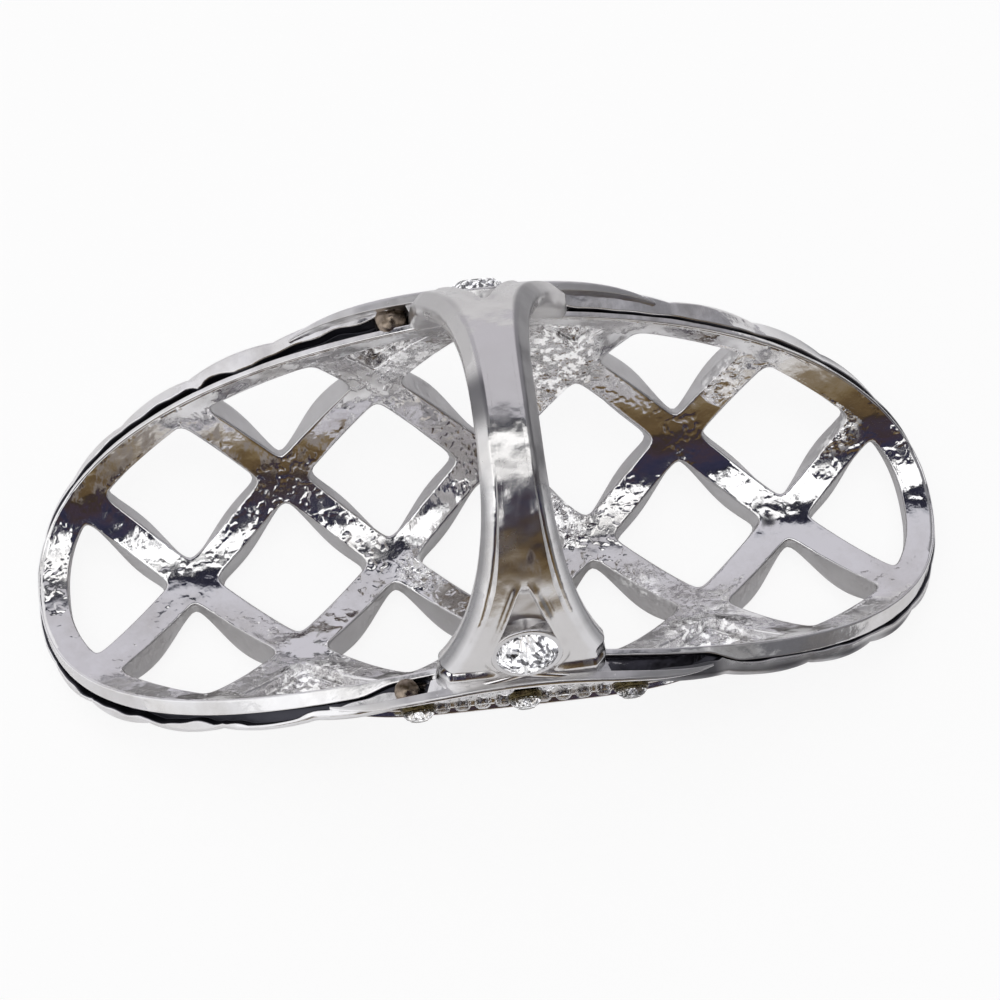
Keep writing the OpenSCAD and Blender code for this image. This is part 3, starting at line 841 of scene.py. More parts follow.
def shank_shape():
    """The shank: a bevelled section carried over the finger, with each fork's V sunk in its outer face."""
    s = sizes()
    from_top = np.linspace(-SHANK_END, SHANK_END, SHANK_STATIONS)
    turned = np.abs(from_top)
    stone_from_top = math.pi - FORK_STONE_ANGLE
    stone = s.fork_stone / 2
    opened = np.clip((turned - s.fork_angle) / (stone_from_top - s.fork_angle), 0, 1)
    past = (turned - stone_from_top) * (s.finger_radius + s.shank_thickness)
    seat = np.sqrt(np.clip((stone + 0.02 * MM) ** 2 - past ** 2, 0, None))
    seated = smooth_step(seat, 0, 0.3 * MM)
    ending = (stone + 0.22 * MM) ** 2 - np.maximum(past, 0) ** 2
    ending = np.sqrt(np.clip(ending, FORK_END_HALF_WIDTH ** 2, None))
    edge = np.minimum(FORK_LEG + FORK_OPENING * opened, ending)
    ridge = FORK_RIDGE * smooth_step(turned, s.fork_angle - math.radians(2), s.fork_angle + math.radians(2))
    ridge *= 1 - smooth_step(past, stone - 0.5 * MM, stone)
    sunk = s.fork_depth * smooth_step(turned, s.fork_angle, s.fork_angle + math.radians(3))
    sunk *= 1 - smooth_step(past, stone + 0.02 * MM, stone + 0.16 * MM)
    slot = np.exp(-((turned - SLOT_FROM_TOP) / SLOT_REACH) ** 4)
    crown = s.shank_thickness + 0.03 * MM
    top = s.shank_thickness - slot * (s.shank_thickness - SLOT_FLOOR)
    zero = np.zeros(len(turned))
    floor = crown - sunk - (crown - s.fork_depth - 0.12 * MM) * seated

    def one_side(limits):
        """The section's corners from its inner face to the fork's floor, with the foot's width limited."""
        limit = np.where(from_top > 0, *limits)
        half = shank_half_width(from_top)
        half = np.minimum(half, limit - 0.2 * MM * np.exp(-np.abs(half - limit) / (0.4 * MM)))
        foot = half - s.shank_bevel
        side = zero + s.shank_thickness - s.shank_bevel
        rest = np.minimum(seat, edge * 0.9 - 0.06 * MM)
        return [
            (half - 0.25 * MM, zero, 0.3),
            (half, zero + 0.25 * MM, 0.3),
            (half, side, 0.12),
            (foot, top, 0.1),
            (foot + 0.5 * (edge - foot), zero + crown - slot * (crown - SLOT_FLOOR), 0.4),
            (edge + 0.42 * MM, crown - 0.15 * ridge, 0.14),
            (edge + 0.2 * MM, crown + ridge, 0.14),
            (edge, crown + ridge, 0.12),
            (edge - np.minimum(0.12 * MM, edge * 0.6), crown - sunk, 0.06),
            (rest, crown - sunk, 0.02),
            (rest * 0.98, floor, 0.02),
        ]

    left, right = (one_side(limits) for limits in zip(*FEET))
    section = section_of(
        right + [(zero, floor, 0.1)] + [(-x, depth, radius) for x, depth, radius in reversed(left)])
    points = on_ring(section[..., 0], math.pi + from_top[:, None], section[..., 1])
    rows, columns = section.shape[:2]
    corner = np.arange(columns) // CORNER_POINTS
    last = corner[-1]
    in_fork = np.abs(corner - len(right)) <= 3
    opening = smooth_step(turned, s.fork_angle - math.radians(1), s.fork_angle + math.radians(4))
    degrees = np.degrees(from_top)[:, None]
    right_edge = (corner == 2) | (corner == 3)
    left_edge = (corner == last - 3) | (corner == last - 2)
    # Painted reflections: the shank's side edges and outer lines are darkened through the sunk mark, standing
    # for near-black reflections along its bevels
    painted_dark_reflection = right_edge * (0.62 - 0.56 * smooth_step(degrees, 12, 30)) * smooth_step(degrees, -75, -50)
    painted_dark_reflection = painted_dark_reflection + left_edge * (0.2 * smooth_step(-degrees, 0, 20) + 0.75 * np.exp(-((degrees + 6) / 8) ** 4))
    near_part = smooth_step(degrees, 10, 22)
    outer_line = (corner == 2) | (corner == last - 2)
    painted_dark_reflection = np.maximum(painted_dark_reflection, 0.6 * outer_line * near_part)
    dull = 0.35 * np.maximum(opening[:, None] * in_fork, smooth_step(-degrees, 30, 60))
    soft = 1 - (right_edge | left_edge) * near_part
    return points, capped_faces(rows, columns), {"side_wall": dull, "soft_polish": soft, "sunk": painted_dark_reflection}


def ring_of(x, angle, profile, sides):
    """A closed profile of radius and depth, turned round the outward line through a place on the ring."""
    turn = np.linspace(0, TURN, sides, endpoint=False)[:, None]
    radius, depth = np.asarray(profile).T
    points = np.stack(np.broadcast_arrays(radius * np.cos(turn), radius * np.sin(turn), depth), axis=-1)
    return standing_on(x, angle, points), grid_faces(sides, len(radius), True, True)


def fork_stone_depth(side):
    """How deep the round stone of a fork sits. The far one sits a little lower."""
    return (1.3 if side < 0 else 1.05) * MM


def bezel_shape(side):
    """The fork stone's bezel: a wall round the girdle, with a rounded top that leans over the stone."""
    s = sizes()
    inner, outer = s.fork_stone / 2 + 0.04 * MM, s.fork_stone / 2 + 0.27 * MM
    low, high = 0.4 * MM, fork_stone_depth(side) + 0.18 * MM
    profile = section_of([
        ([inner], [low], 0.02),
        ([inner], [high - 0.14 * MM], 0.05),
        ([inner - 0.1 * MM], [high], 0.05),
        ([outer - 0.05 * MM], [high], 0.12),
        ([outer], [low], 0.02),
    ])[0]
    points, faces = ring_of(0, side * FORK_STONE_ANGLE, profile, BEZEL_SIDES)
    return points, faces, {"side_wall": np.full(points.shape[:2], 0.4)}


def leaf_half_height(x):
    """The leaf is a lens: its half height falls off with the square of x."""
    return sizes().leaf_height / 2 * (1 - (x / (sizes().leaf_length / 2)) ** 2)


def leaf_middle(x):
    """The angle of the leaf's middle line, which droops towards the tips."""
    return LEAF_ANGLE - LEAF_DROOP * (x / (sizes().leaf_length / 2)) ** 2


def leaf_shape(side):
    """The leaf: a plate with a raised border, its section carried along its drooping middle line."""
    s = sizes()
    share = -np.cos(np.linspace(0, math.pi, LEAF_STATIONS))
    x = share * s.leaf_length / 2
    sink = 0.35 * MM * share ** 6
    back = leaf_inner() - sink
    face = back + s.leaf_thickness * (1 - 0.8 * share ** 4)
    half = math.radians(0.6) + leaf_half_height(x) / (s.finger_radius + leaf_face())
    field = LEAF_FIELD * smooth_step(1 - np.abs(share), 0, 0.3)
    upper = [
        (half, back, 0.05),
        (half, face - 0.12 * MM, 0.08),
        (half * 0.95, face, 0.06),
        (half * 0.88, face, 0.05),
        (half * 0.84, face - field, 0.05),
    ]
    corners = upper + [(-angle, depth, radius) for angle, depth, radius in reversed(upper)]
    section = section_of([(angle * s.finger_radius, depth, radius) for angle, depth, radius in corners])
    angle = side * (leaf_middle(x)[:, None] + section[..., 0] / s.finger_radius)
    points = on_ring(x[:, None], angle, section[..., 1])
    rows, columns = section.shape[:2]
    edge = np.isin(np.arange(columns) // CORNER_POINTS, (0, 1, 8, 9)) * np.ones((rows, 1))
    return points, capped_faces(rows, columns), {"side_wall": 0.7 * edge}


def leaf_stone_depth(side):
    """How deep the larger stones of a leaf sit. The near leaf's stand a little higher."""
    return leaf_face() + (0.02 if side < 0 else -0.2) * MM


def collars_shape(side):
    """A collar under each stone of a leaf, in the brown foil, whose deep brown is painted shade round the
    stone.
    """
    s = sizes()
    inner, outer = s.leaf_stone / 2 - 0.16 * MM, s.leaf_stone / 2 + 0.09 * MM
    low, high = leaf_inner() + 0.2 * MM, leaf_stone_depth(side) - 0.07 * MM
    corners = np.array([[inner, low], [inner, high], [outer, high], [outer, low]])
    profile = rounded(corners[None], 0.04 * MM, 3)[0]
    return joined([
        ring_of(x, side * leaf_middle(x), profile, COLLAR_SIDES)
        for x in (place * s.column_pitch for place in PLACES.values())
    ])


def pave_places(side):
    """The small stones' places: two rows, where the leaf is wide enough and clear of its larger stones."""
    s = sizes()
    x, row = np.meshgrid(np.arange(-7, 8) * PAVE_PITCH, [-1, 1])
    offset = PAVE_ROW_ANGLE * (s.finger_radius + leaf_face())
    away = np.hypot(x[..., None] - np.array(list(PLACES.values())) * s.column_pitch, offset).min(axis=-1)
    clear = away > (s.leaf_stone + s.pave_stone) / 2 + 0.14 * MM
    fits = (leaf_half_height(x) > offset + 0.16 * MM) & clear
    angle = side * (leaf_middle(x) + row * PAVE_ROW_ANGLE)
    return list(zip(x[fits], angle[fits]))


def cut_stone(x, angle, girdle_depth, diameter, back_height=0.36):
    """A round brilliant: an eight-sided table, stars, kites, a sixteen-sided girdle and the same cut below.

    Each eight-sided ring stands half a step from the next. The faces of the crown come first."""
    half_girdle = 0.03
    rings = (
        (0.28, half_girdle + 0.19, 8, 0.5),
        (0.395, half_girdle + 0.12, 8, 0.0),
        (0.50, half_girdle, 16, 0.0),
        (0.50, -half_girdle, 16, 0.0),
        (0.40, -half_girdle - 0.45 * back_height, 8, 0.0),
        (0.03, -half_girdle - back_height, 8, 0.5),
    )
    points = []
    for radius, height, count, turn in rings:
        a = (np.arange(count) + turn) * TURN / count
        points.append(np.stack([radius * np.cos(a), radius * np.sin(a), np.full(count, height)], axis=-1))
    points = np.concatenate(points) * diameter
    points[:, 2] += girdle_depth
    starts = np.cumsum([0] + [ring[2] for ring in rings])
    i = np.arange(8)
    after = (i + 1) % 8

    def cap(flat, middle, girdle):
        """One side of the stone, from its flat eight-sided face out to the girdle."""
        flat, middle = starts[flat], starts[middle]
        odd, even, last = (starts[girdle] + (2 * i + k) % 16 for k in (1, 0, -1))
        sides = [
            np.stack([flat + i, middle + i, odd, middle + after], axis=-1),
            np.stack([flat + after, middle + after, flat + i], axis=-1),
            np.stack([middle + i, even, odd], axis=-1),
            np.stack([middle + i, last, even], axis=-1),
        ]
        return [(flat + i).tolist()] + [face for side in sides for face in side.tolist()]

    k = np.arange(16)
    top, bottom, k_after = starts[2], starts[3], (k + 1) % 16
    girdle = np.stack([top + k, bottom + k, bottom + k_after, top + k_after], axis=-1).tolist()
    return standing_on(x, angle, points), cap(0, 1, 2) + girdle + cap(5, 4, 3)


def dome(x, angle, depth, radius):
    """A small flattened ball with a raised ring on it, that shows in a pocket of the rim."""
    up = np.linspace(0, math.pi, 17)[:, None]
    turn = np.linspace(0, TURN, 24, endpoint=False)
    reach = radius * (1 + 0.06 * np.cos(6 * up))
    across = reach * np.sin(up)
    ball = np.stack(np.broadcast_arrays(
        across * np.cos(turn), 0.8 * reach * np.cos(up), across * np.sin(turn)), axis=-1)
    return standing_on(x, angle, ball + [0, 0, depth]), grid_faces(17, 24, closed_columns=True)


def bead(x, angle, depth, radius):
    """A bead of metal: a dome as two rings and a top, over a skirt sunk in the leaf."""
    rows = [(1.0, -0.8), (1.0, 0.0), (0.72, 0.66), (0.0, 1.0)]
    turn = np.linspace(0, TURN, BEAD_SIDES, endpoint=False)
    points = radius * np.concatenate([
        np.stack([reach * np.cos(turn), reach * np.sin(turn), 0 * turn + height], axis=-1)
        for reach, height in rows])
    points[:, 2] += depth
    faces = grid_faces(len(rows), BEAD_SIDES, closed_columns=True).tolist() + [list(range(BEAD_SIDES))]
    return standing_on(x, angle, points), faces


def beads_shape(side):
    """Four beads round each small stone."""
    s = sizes()
    reach = BEAD_SHARE * (s.pave_stone / 2 + 0.03 * MM)
    parts = []
    for x, angle in pave_places(side):
        for a, b in ((1, 1), (1, -1), (-1, 1), (-1, -1)):
            across = reach * b / (s.finger_radius + leaf_face())
            parts.append(bead(x + reach * a, angle + across, leaf_face() - LEAF_FIELD, BEAD_RADIUS))
    return joined(parts)


class Nodes:
    """A short way to write a node tree: each call adds a node, sets inputs and links what is a socket."""

    def __init__(self, tree):
        self.tree = tree

    def add(self, kind, inputs=None, **settings):
        node = self.tree.nodes.new(kind)
        for name, value in settings.items():
            setattr(node, name, value)
        for key, value in (inputs or {}).items():
            self.give(node.inputs[key], value)
        return node

    def give(self, socket, value):
        """Link a socket to another one, or set its value."""
        if isinstance(value, bpy.types.NodeSocket):
            self.tree.links.new(value, socket)
        else:
            socket.default_value = value

    def math(self, operation, *values, **settings):
        settings["operation"] = operation
        return self.add("ShaderNodeMath", dict(enumerate(values)), **settings).outputs[0]

    def times(self, first, second):
        return self.math("MULTIPLY", first, second)

    def plus(self, first, second, **settings):
        return self.math("ADD", first, second, **settings)

    def noise(self, vector, scale, detail=3.0, roughness=0.5, distortion=0.0):
        inputs = {"Vector": vector, "Scale": scale, "Detail": detail, "Roughness": roughness,
                  "Distortion": distortion}
        return self.add("ShaderNodeTexNoise", inputs).outputs[0]

    def ramp(self, value, low, high, to_low=0.0, to_high=1.0):
        inputs = {"Value": value, "From Min": low, "From Max": high, "To Min": to_low, "To Max": to_high}
        return self.add("ShaderNodeMapRange", inputs).outputs["Result"]

    def blend(self, share, first, second):
        """Two colours mixed by a share, each a socket or three numbers."""
        first, second = (
            value if isinstance(value, bpy.types.NodeSocket) else (*value, 1) for value in (first, second))
        return self.add("ShaderNodeMix", {0: share, 6: first, 7: second}, data_type="RGBA").outputs[2]

    def principled(self, **inputs):
        """A principled shader, its inputs named with underscores for spaces."""
        inputs = {name.replace("_", " "): value for name, value in inputs.items()}
        return self.add("ShaderNodeBsdfPrincipled", inputs).outputs[0]

    def either(self, share, first, second):
        """Two shaders mixed by a share."""
        return self.add("ShaderNodeMixShader", {0: share, 1: first, 2: second}).outputs[0]

    def finish(self, shader, kind="ShaderNodeOutputMaterial"):
        self.add(kind, {"Surface": shader})


def plated_skin():
    """The plated casting's skin: waves, a fine grain, sparse flecks and rough patches, as a height in mm.

    It also says where the plate is thin, and where a rough patch is frosted and glows with painted glints."""
    tree = bpy.data.node_groups.new("plated_skin", "ShaderNodeTree")
    n = Nodes(tree)
    tree.interface.new_socket("Vector", in_out="INPUT", socket_type="NodeSocketVector")
    for way, names in {"INPUT": ("Rough", "Pitted", "Soft"), "OUTPUT": ("Height", "Worn", "Frost")}.items():
        for name in names:
            tree.interface.new_socket(name, in_out=way, socket_type="NodeSocketFloat")
    inputs = n.add("NodeGroupInput").outputs
    vector = inputs["Vector"]
    waves = n.times(n.noise(vector, 600.0, 1.5), 0.13)
    grain = n.times(n.noise(vector, 2200.0, 2.0), 0.014)
    slow = n.times(n.noise(vector, 420.0, 1.5), n.times(inputs["Soft"], 0.3))
    zones = n.times(n.ramp(n.noise(vector, 330.0, 1.0), 0.42, 0.58), inputs["Pitted"])
    flecks = n.times(n.ramp(n.noise(vector, 2000.0, 1.0), 0.5, 0.7, 0.0, 0.034), zones)
    crust = n.times(n.noise(vector, 2100.0, 2.0, 0.6, 0.3), inputs["Rough"])
    height = n.plus(n.plus(n.plus(waves, slow), grain), n.plus(flecks, n.times(crust, 0.34)))
    worn = n.ramp(n.noise(vector, 330.0, 5.0, 0.6), 0.42, 0.66)
    # The frosted patches' mask also lights painted glints, where the plate glows white
    frost_and_painted_glints = n.times(n.ramp(n.noise(vector, 2300.0, 2.0, 0.6), 0.5, 0.58), inputs["Rough"])
    n.add("NodeGroupOutput", {"Height": height, "Worn": worn, "Frost": frost_and_painted_glints})
    return tree


def new_material(name):
    material = bpy.data.materials.new(name)
    material.use_nodes = True
    material.node_tree.nodes.clear()
    return material, Nodes(material.node_tree)


def plate_material(name, skin):
    """Bright plate: the skin's height as bump, duller where worn or on side walls. Through the sunk mark it is
    painted near-black as shade in the groove, the pits and petal patches, and as reflections along the shank's
    edges.
    """
    finishes = bpy.context.scene.ring_finishes
    material, n = new_material(name)
    rough, pitted, soft, side, sunk = (
        n.add("ShaderNodeAttribute", attribute_name=mark).outputs["Fac"]
        for mark in ("rough_cast", "pitted", "soft_polish", "side_wall", "sunk"))
    surface = n.add("ShaderNodeGroup", {
        "Vector": n.add("ShaderNodeTexCoord").outputs["Object"], "Rough": rough, "Pitted": pitted,
        "Soft": soft}, node_tree=skin).outputs
    roughness = n.ramp(surface["Worn"], 0.0, 1.0, 0.07, 0.2)
    colour = n.blend(surface["Worn"], finishes.plate, finishes.worn_plate)
    # The sunk mark blends the plate to the groove colour as painted shade and painted reflections
    for mark, rougher, share, tint in (
            (soft, 0.1, 0.8, finishes.worn_plate),
            (side, 0.3, 0.75, finishes.side_wall),
            (sunk, 0.3, 0.95, finishes.groove)):
        roughness = n.plus(roughness, n.times(mark, rougher), use_clamp=mark is sunk)
        colour = n.blend(n.times(mark, share), colour, tint)
    bump = n.add("ShaderNodeBump", {"Height": surface["Height"], "Distance": MM, "Strength": 1.0})
    # Frosted patches are less metallic and glow faintly white: painted glints
    n.finish(n.principled(
        Base_Color=colour, Roughness=roughness, Normal=bump.outputs["Normal"],
        Metallic=n.ramp(surface["Frost"], 0.0, 1.0, 1.0, 0.5),
        Emission_Color=n.blend(surface["Frost"], BLACK, WHITE), Emission_Strength=0.45))
    return material


def glass_material(name, tint):
    """Cut glass, with faint scratches in its gloss."""
    material, n = new_material(name)
    vector = n.add("ShaderNodeTexCoord").outputs["Object"]
    scratches = n.ramp(n.noise(vector, 2500.0, 3.0), 0.4, 0.7, 0.0, 0.06)
    n.finish(n.principled(
        Base_Color=(*tint, 1), Roughness=scratches, Metallic=0.0, Transmission_Weight=1.0, IOR=1.6))
    return material


def foil_material(name, foil, worn_foil):
    """The foil on the back of a stone: coloured lacquer with worn spots outside, a mirror seen from inside.

    The mirror glows faintly in spots, painted sparkle for the light that its cut faces gather, and is bright
    there and grey between."""
    material, n = new_material(name)
    vector = n.add("ShaderNodeTexCoord").outputs["Object"]
    spots = n.noise(vector, 2200.0, 3.0)
    lacquer = n.principled(
        Base_Color=n.blend(n.ramp(spots, 0.45, 0.7), foil, worn_foil),
        Roughness=n.ramp(spots, 0.3, 0.7, 0.12, 0.35), Metallic=1.0)
    # Painted sparkle: spots where the mirror glows and turns bright, grey between them
    painted_sparkle = n.ramp(n.noise(vector, 2500.0, 2.0), 0.44, 0.52)
    mirror = n.principled(
        Base_Color=n.blend(painted_sparkle, (0.25, 0.25, 0.27), (0.95, 0.95, 0.96)),
        Roughness=n.ramp(spots, 0.3, 0.7, 0.0, 0.05), Metallic=1.0,
        Emission_Color=n.blend(painted_sparkle, BLACK, WHITE), Emission_Strength=0.6)
    n.finish(n.either(n.add("ShaderNodeNewGeometry").outputs["Backfacing"], lacquer, mirror))
    return material


def found_material(name, make, *values):
    """The material of that name, made the first time it is asked for."""
    return bpy.data.materials.get(name) or make(name, *values)


def foil(name, colour, worn):
    """A foil by the names of its material and of its two colours."""
    finishes = bpy.context.scene.ring_finishes
    return found_material(name, foil_material, getattr(finishes, colour), getattr(finishes, worn))


def silver_foil():
    return foil("silver_foil", "silver_foil", "worn_foil")


def brown_foil():
    return foil("brown_foil", "brown_foil", "worn_brown_foil")


def add_metal(name, shape):
    """A piece of the plated casting."""
    skin = bpy.data.node_groups.get("plated_skin") or plated_skin()
    plate = found_material("plated_casting", plate_material, skin)
    add_piece(name, shape, plate, ["casting"])


def add_stones(name, shape, back, node):
    """Cut stones of clear glass, with foil on their backs."""
    glass = found_material("clear_glass", glass_material, bpy.context.scene.ring_finishes.clear_stone)
    add_piece(name, shape, glass, [node], flat=True, back=back)


class RING_OT_lattice(bpy.types.Operator):
    """Add the lattice of leaf-shaped bars"""

    bl_idname = "ring.lattice"
    bl_label = "Lattice"

    def execute(self, context):
        add_metal("lattice", lattice_shape())
        return {"FINISHED"}


class RING_OT_rim(bpy.types.Operator):
    """Add the rim with its lip, groove and petals"""

    bl_idname = "ring.rim"
    bl_label = "Rim"

    def execute(self, context):
        add_metal("rim", rim_shape())
        return {"FINISHED"}


class RING_OT_shank(bpy.types.Operator):
    """Add the shank with its two forks and their bezels"""

    bl_idname = "ring.shank"
    bl_label = "Shank"

    def execute(self, context):
        add_metal("shank", shank_shape())
        for name, side in SIDES.items():
            add_metal(f"fork_bezel_{name}", bezel_shape(side))
        return {"FINISHED"}


class RING_OT_leaves(bpy.types.Operator):
    """Add the two leaves with their collars and beads"""

    bl_idname = "ring.leaves"
    bl_label = "Leaves"

    def execute(self, context):
        for name, side in SIDES.items():
            add_metal(f"leaf_{name}", leaf_shape(side))
            # The collars wear the brown foil, as painted shade round each leaf stone
            add_piece(
                f"leaf_collars_{name}", collars_shape(side), brown_foil(), ["casting"])
            add_metal(f"leaf_beads_{name}", beads_shape(side))
        return {"FINISHED"}


class RING_OT_stones(bpy.types.Operator):
    """Set the cut stones in the forks and the leaves"""

    bl_idname = "ring.stones"
    bl_label = "Stones"

    def execute(self, context):
        s = sizes()
        for name, side in SIDES.items():
            stone = cut_stone(0, side * FORK_STONE_ANGLE, fork_stone_depth(side), s.fork_stone)
            add_stones(f"cut_fork_stone_{name}", stone, silver_foil(), f"fork_stone_{name}")
            for place, at in PLACES.items():
                x = at * s.column_pitch
                stone = cut_stone(x, side * leaf_middle(x), leaf_stone_depth(side), s.leaf_stone)
                add_stones(f"cut_leaf_stone_{name}_{place}", stone, brown_foil(),
                           f"leaf_stone_{name}_{place}")
            depth = leaf_face() - PAVE_SINK
            field = joined([cut_stone(x, angle, depth, s.pave_stone) for x, angle in pave_places(side)])
            add_stones(f"cut_pave_{name}", field, silver_foil(), f"pave_{name}")
        lacquer = foil("pocket_lacquer", "pocket_back", "worn_brown_foil")
        for name, (x, radius) in POCKET_BACKS.items():
            back = dome(x, SIDES[name] * math.radians(90), 0.9 * MM, radius)
            add_piece(f"pocket_back_{name}", back, lacquer, ["casting"])
        return {"FINISHED"}


# The studio round the ring, by degrees from straight above towards the near side, in linear colours
SURROUNDINGS = (
    (-180, (0.55, 0.54, 0.57)),
    (-90, (0.60, 0.585, 0.63)),
    (-28, (0.60, 0.59, 0.63)),
    (-23, (0.45, 0.45, 0.49)),
    (-20, (0.03, 0.03, 0.05)),
    (-9, (0.012, 0.012, 0.02)),
    (-7, (1.35, 1.35, 1.35)),
    (10, (1.35, 1.35, 1.35)),
    (12, (0.015, 0.015, 0.025)),
    (24, (0.03, 0.03, 0.06)),
    (34, (0.05, 0.035, 0.05)),
    (44, (0.04, 0.028, 0.018)),
    (52, (0.11, 0.072, 0.035)),
    (64, (0.17, 0.122, 0.062)),
    (74, (0.23, 0.185, 0.13)),
    (88, (0.72, 0.70, 0.68)),
    (180, (0.55, 0.54, 0.57)),
)


def studio_world():
    """White for the camera, and for reflections soft bands that run along the finger, with uneven edges."""
    world = bpy.data.worlds.new("studio")
    world.use_nodes = True
    world.node_tree.nodes.clear()
    n = Nodes(world.node_tree)
    direction = n.add("ShaderNodeTexCoord").outputs["Generated"]
    parts = n.add("ShaderNodeSeparateXYZ", {0: direction}).outputs
    angle = n.math("ARCTAN2", n.times(parts["Y"], -1.0), parts["Z"])
    wander = n.math("SUBTRACT", n.noise(direction, 5.0, 2.0), 0.5)
    blotch = n.math("SUBTRACT", n.noise(direction, 22.0, 3.0, 0.6), 0.5)
    dark_side = n.times(n.ramp(parts["X"], -0.16, -0.05, 1.0, 0.0), n.ramp(angle, 0.17, 0.35))
    angle = n.math("SUBTRACT", angle, n.times(dark_side, 0.3))
    angle = n.plus(angle, n.times(wander, 0.35))
    angle = n.plus(angle, n.times(blotch, 0.25))
    share = n.ramp(angle, -math.pi, math.pi)
    ramp = n.add("ShaderNodeValToRGB", {"Fac": share})
    elements = ramp.color_ramp.elements
    while len(elements) < len(SURROUNDINGS):
        elements.new(0.5)
    for element, (degrees, colour) in zip(elements, SURROUNDINGS):
        element.position = degrees / 360 + 0.5
        element.color = (*colour, 1)
    middle = n.ramp(n.math("ABSOLUTE", n.plus(parts["X"], 0.086)), 0.04, 0.066, 0.9, 0.0)
    browns = n.times(n.ramp(angle, 0.75, 0.9), n.ramp(angle, 1.35, 1.5, 1.0, 0.0))
    colour = n.blend(n.times(middle, browns), ramp.outputs["Color"], (0.25, 0.225, 0.21))
    colour = n.blend(n.ramp(parts["X"], -0.75, -0.4, 0.85, 0.0), colour, (0.95, 0.95, 0.96))
    colour = n.blend(n.ramp(parts["X"], 0.4, 0.75, 0.0, 0.85), colour, (0.17, 0.17, 0.18))
    around = n.add("ShaderNodeBackground", {"Color": colour, "Strength": 1.0})
    plain = n.add("ShaderNodeBackground", {"Color": (1, 1, 1, 1), "Strength": 1.0})
    seen = n.add("ShaderNodeLightPath").outputs["Is Camera Ray"]
    n.finish(n.either(seen, around.outputs[0], plain.outputs[0]), "ShaderNodeOutputWorld")
    bpy.context.scene.world = world


def floor_material():
    """A pale floor: bright to the camera, softly lit in reflections, and clear from below."""
    material, n = new_material("floor")
    pale = (*bpy.context.scene.ring_studio.floor_color, 1)
    lit = n.add("ShaderNodeBsdfDiffuse", {"Color": pale})
    faint = n.add("ShaderNodeBsdfDiffuse", {"Color": (0.12, 0.12, 0.12, 1)})
    glow = n.add("ShaderNodeEmission", {"Color": (1, 1, 1, 1), "Strength": 0.88})
    bright = n.add("ShaderNodeAddShader", {0: faint.outputs[0], 1: glow.outputs[0]})
    seen = n.add("ShaderNodeLightPath").outputs["Is Camera Ray"]
    front = n.either(seen, lit.outputs[0], bright.outputs[0])
    clear = n.add("ShaderNodeBsdfTransparent").outputs[0]
    n.finish(n.either(n.add("ShaderNodeNewGeometry").outputs["Backfacing"], front, clear))
    return material


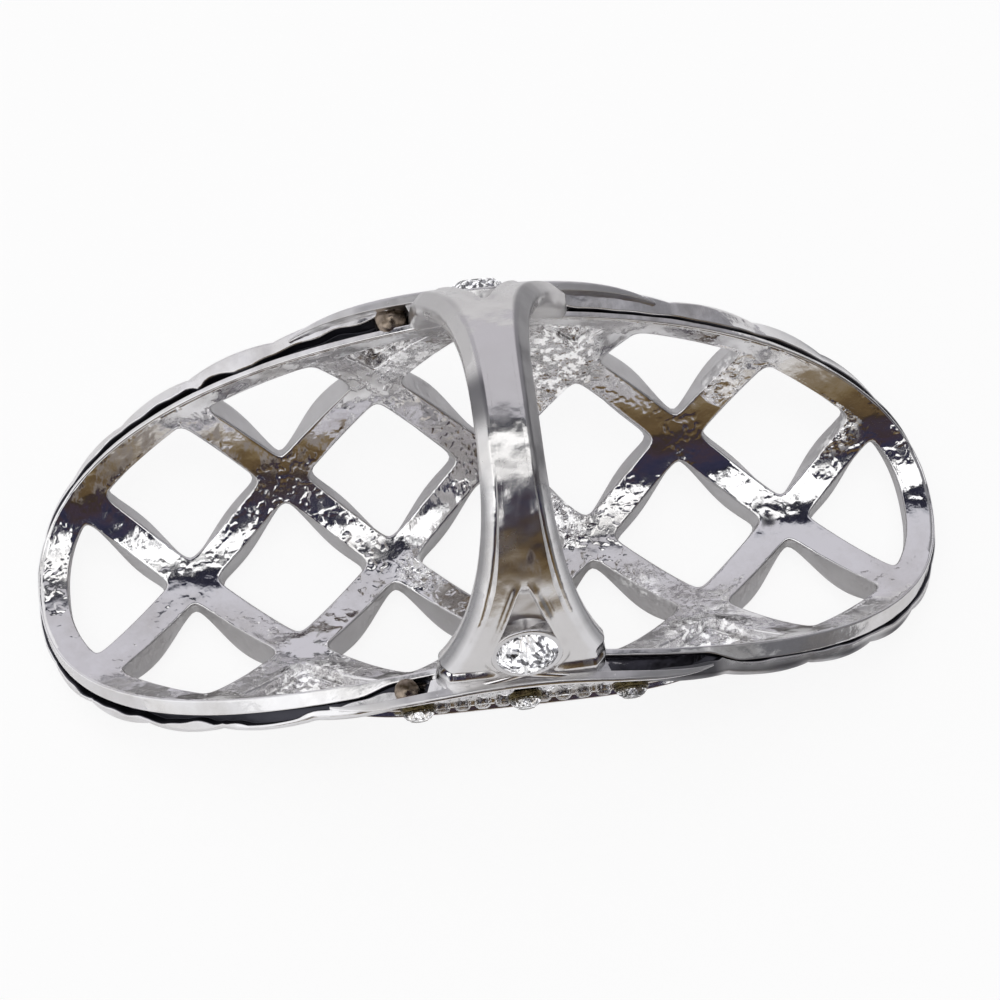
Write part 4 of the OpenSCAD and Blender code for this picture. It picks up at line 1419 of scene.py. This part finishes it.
class RING_OT_stage(bpy.types.Operator):
    """Add the pale floor, the soft studio light and the camera"""

    bl_idname = "ring.stage"
    bl_label = "Stage"

    def execute(self, context):
        half = 3.0
        corners = np.array([[-1, -1, 0], [1, -1, 0], [1, 1, 0], [-1, 1, 0]]) * half
        mesh = bpy.data.meshes.new("floor")
        mesh.from_pydata(corners.tolist(), [], [(0, 1, 2, 3)])
        mesh.materials.append(floor_material())
        floor = bpy.data.objects.new("floor", mesh)
        context.scene.collection.objects.link(floor)
        studio_world()
        self.add_softbox(context)
        self.add_camera(context)
        context.scene.view_settings.view_transform = "Standard"
        return {"FINISHED"}

    def add_softbox(self, context):
        """One large soft light overhead, which lights the floor and doesn't show in the plate."""
        lamp = bpy.data.lights.new("softbox", "AREA")
        lamp.shape = "DISK"
        lamp.size = 1.4
        lamp.energy = context.scene.ring_studio.softbox_power
        softbox = bpy.data.objects.new("softbox", lamp)
        softbox.location = (0, 0, 1.0)
        for ray in ("glossy", "transmission", "camera"):
            setattr(softbox, f"visible_{ray}", False)
        context.scene.collection.objects.link(softbox)

    def add_camera(self, context):
        """The camera looks at the finger hole's axis, tilted, swung and rolled."""
        studio = context.scene.ring_studio
        turn = (Matrix.Rotation(studio.camera_roll, 3, "Z") @ Matrix.Rotation(-studio.camera_tilt, 3, "X")
                @ Matrix.Rotation(studio.camera_swing, 3, "Y")).transposed()
        camera = bpy.data.objects.new("camera", bpy.data.cameras.new("camera"))
        context.scene.collection.objects.link(camera)
        camera.data.sensor_width = 36
        camera.data.lens = studio.focal_length
        camera.data.shift_x = 0.00185
        camera.data.shift_y = -0.00855
        camera.data.clip_start = 1 * MM
        camera.data.clip_end = 20
        aim = Vector((0, 0, axis_height()))
        camera.matrix_world = (Matrix.Translation(aim + turn @ Vector((0, 0, studio.camera_distance)))
                               @ turn.to_4x4())
        context.scene.camera = camera


OPERATORS = (RING_OT_lattice, RING_OT_rim, RING_OT_shank, RING_OT_leaves, RING_OT_stones, RING_OT_stage)


class RING_PT_panel(bpy.types.Panel):
    """The ring's pieces and sizes"""

    bl_idname = "RING_PT_panel"
    bl_label = "Openwork ring"
    bl_space_type = "VIEW_3D"
    bl_region_type = "UI"
    bl_category = "Ring"

    def draw(self, context):
        for operator in OPERATORS:
            self.layout.operator(operator.bl_idname)
        for settings in (context.scene.ring_sizes, context.scene.ring_finishes, context.scene.ring_studio):
            box = self.layout.box()
            for name in settings.bl_rna.properties.keys():
                if name not in ("rna_type", "name"):
                    box.prop(settings, name)


SETTINGS = {"ring_sizes": RingSizes, "ring_finishes": RingFinishes, "ring_studio": StudioSettings}


def register():
    for name, settings in SETTINGS.items():
        bpy.utils.register_class(settings)
        setattr(bpy.types.Scene, name, bpy.props.PointerProperty(type=settings))
    for cls in (*OPERATORS, RING_PT_panel):
        bpy.utils.register_class(cls)


def unregister():
    for cls in reversed((*OPERATORS, RING_PT_panel)):
        bpy.utils.unregister_class(cls)
    for name, settings in SETTINGS.items():
        delattr(bpy.types.Scene, name)
        bpy.utils.unregister_class(settings)


def main():
    register()
    bpy.ops.ring.lattice()
    bpy.ops.ring.rim()
    bpy.ops.ring.shank()
    bpy.ops.ring.leaves()
    bpy.ops.ring.stones()
    bpy.ops.ring.stage()


if __name__ == "__main__":
    main()
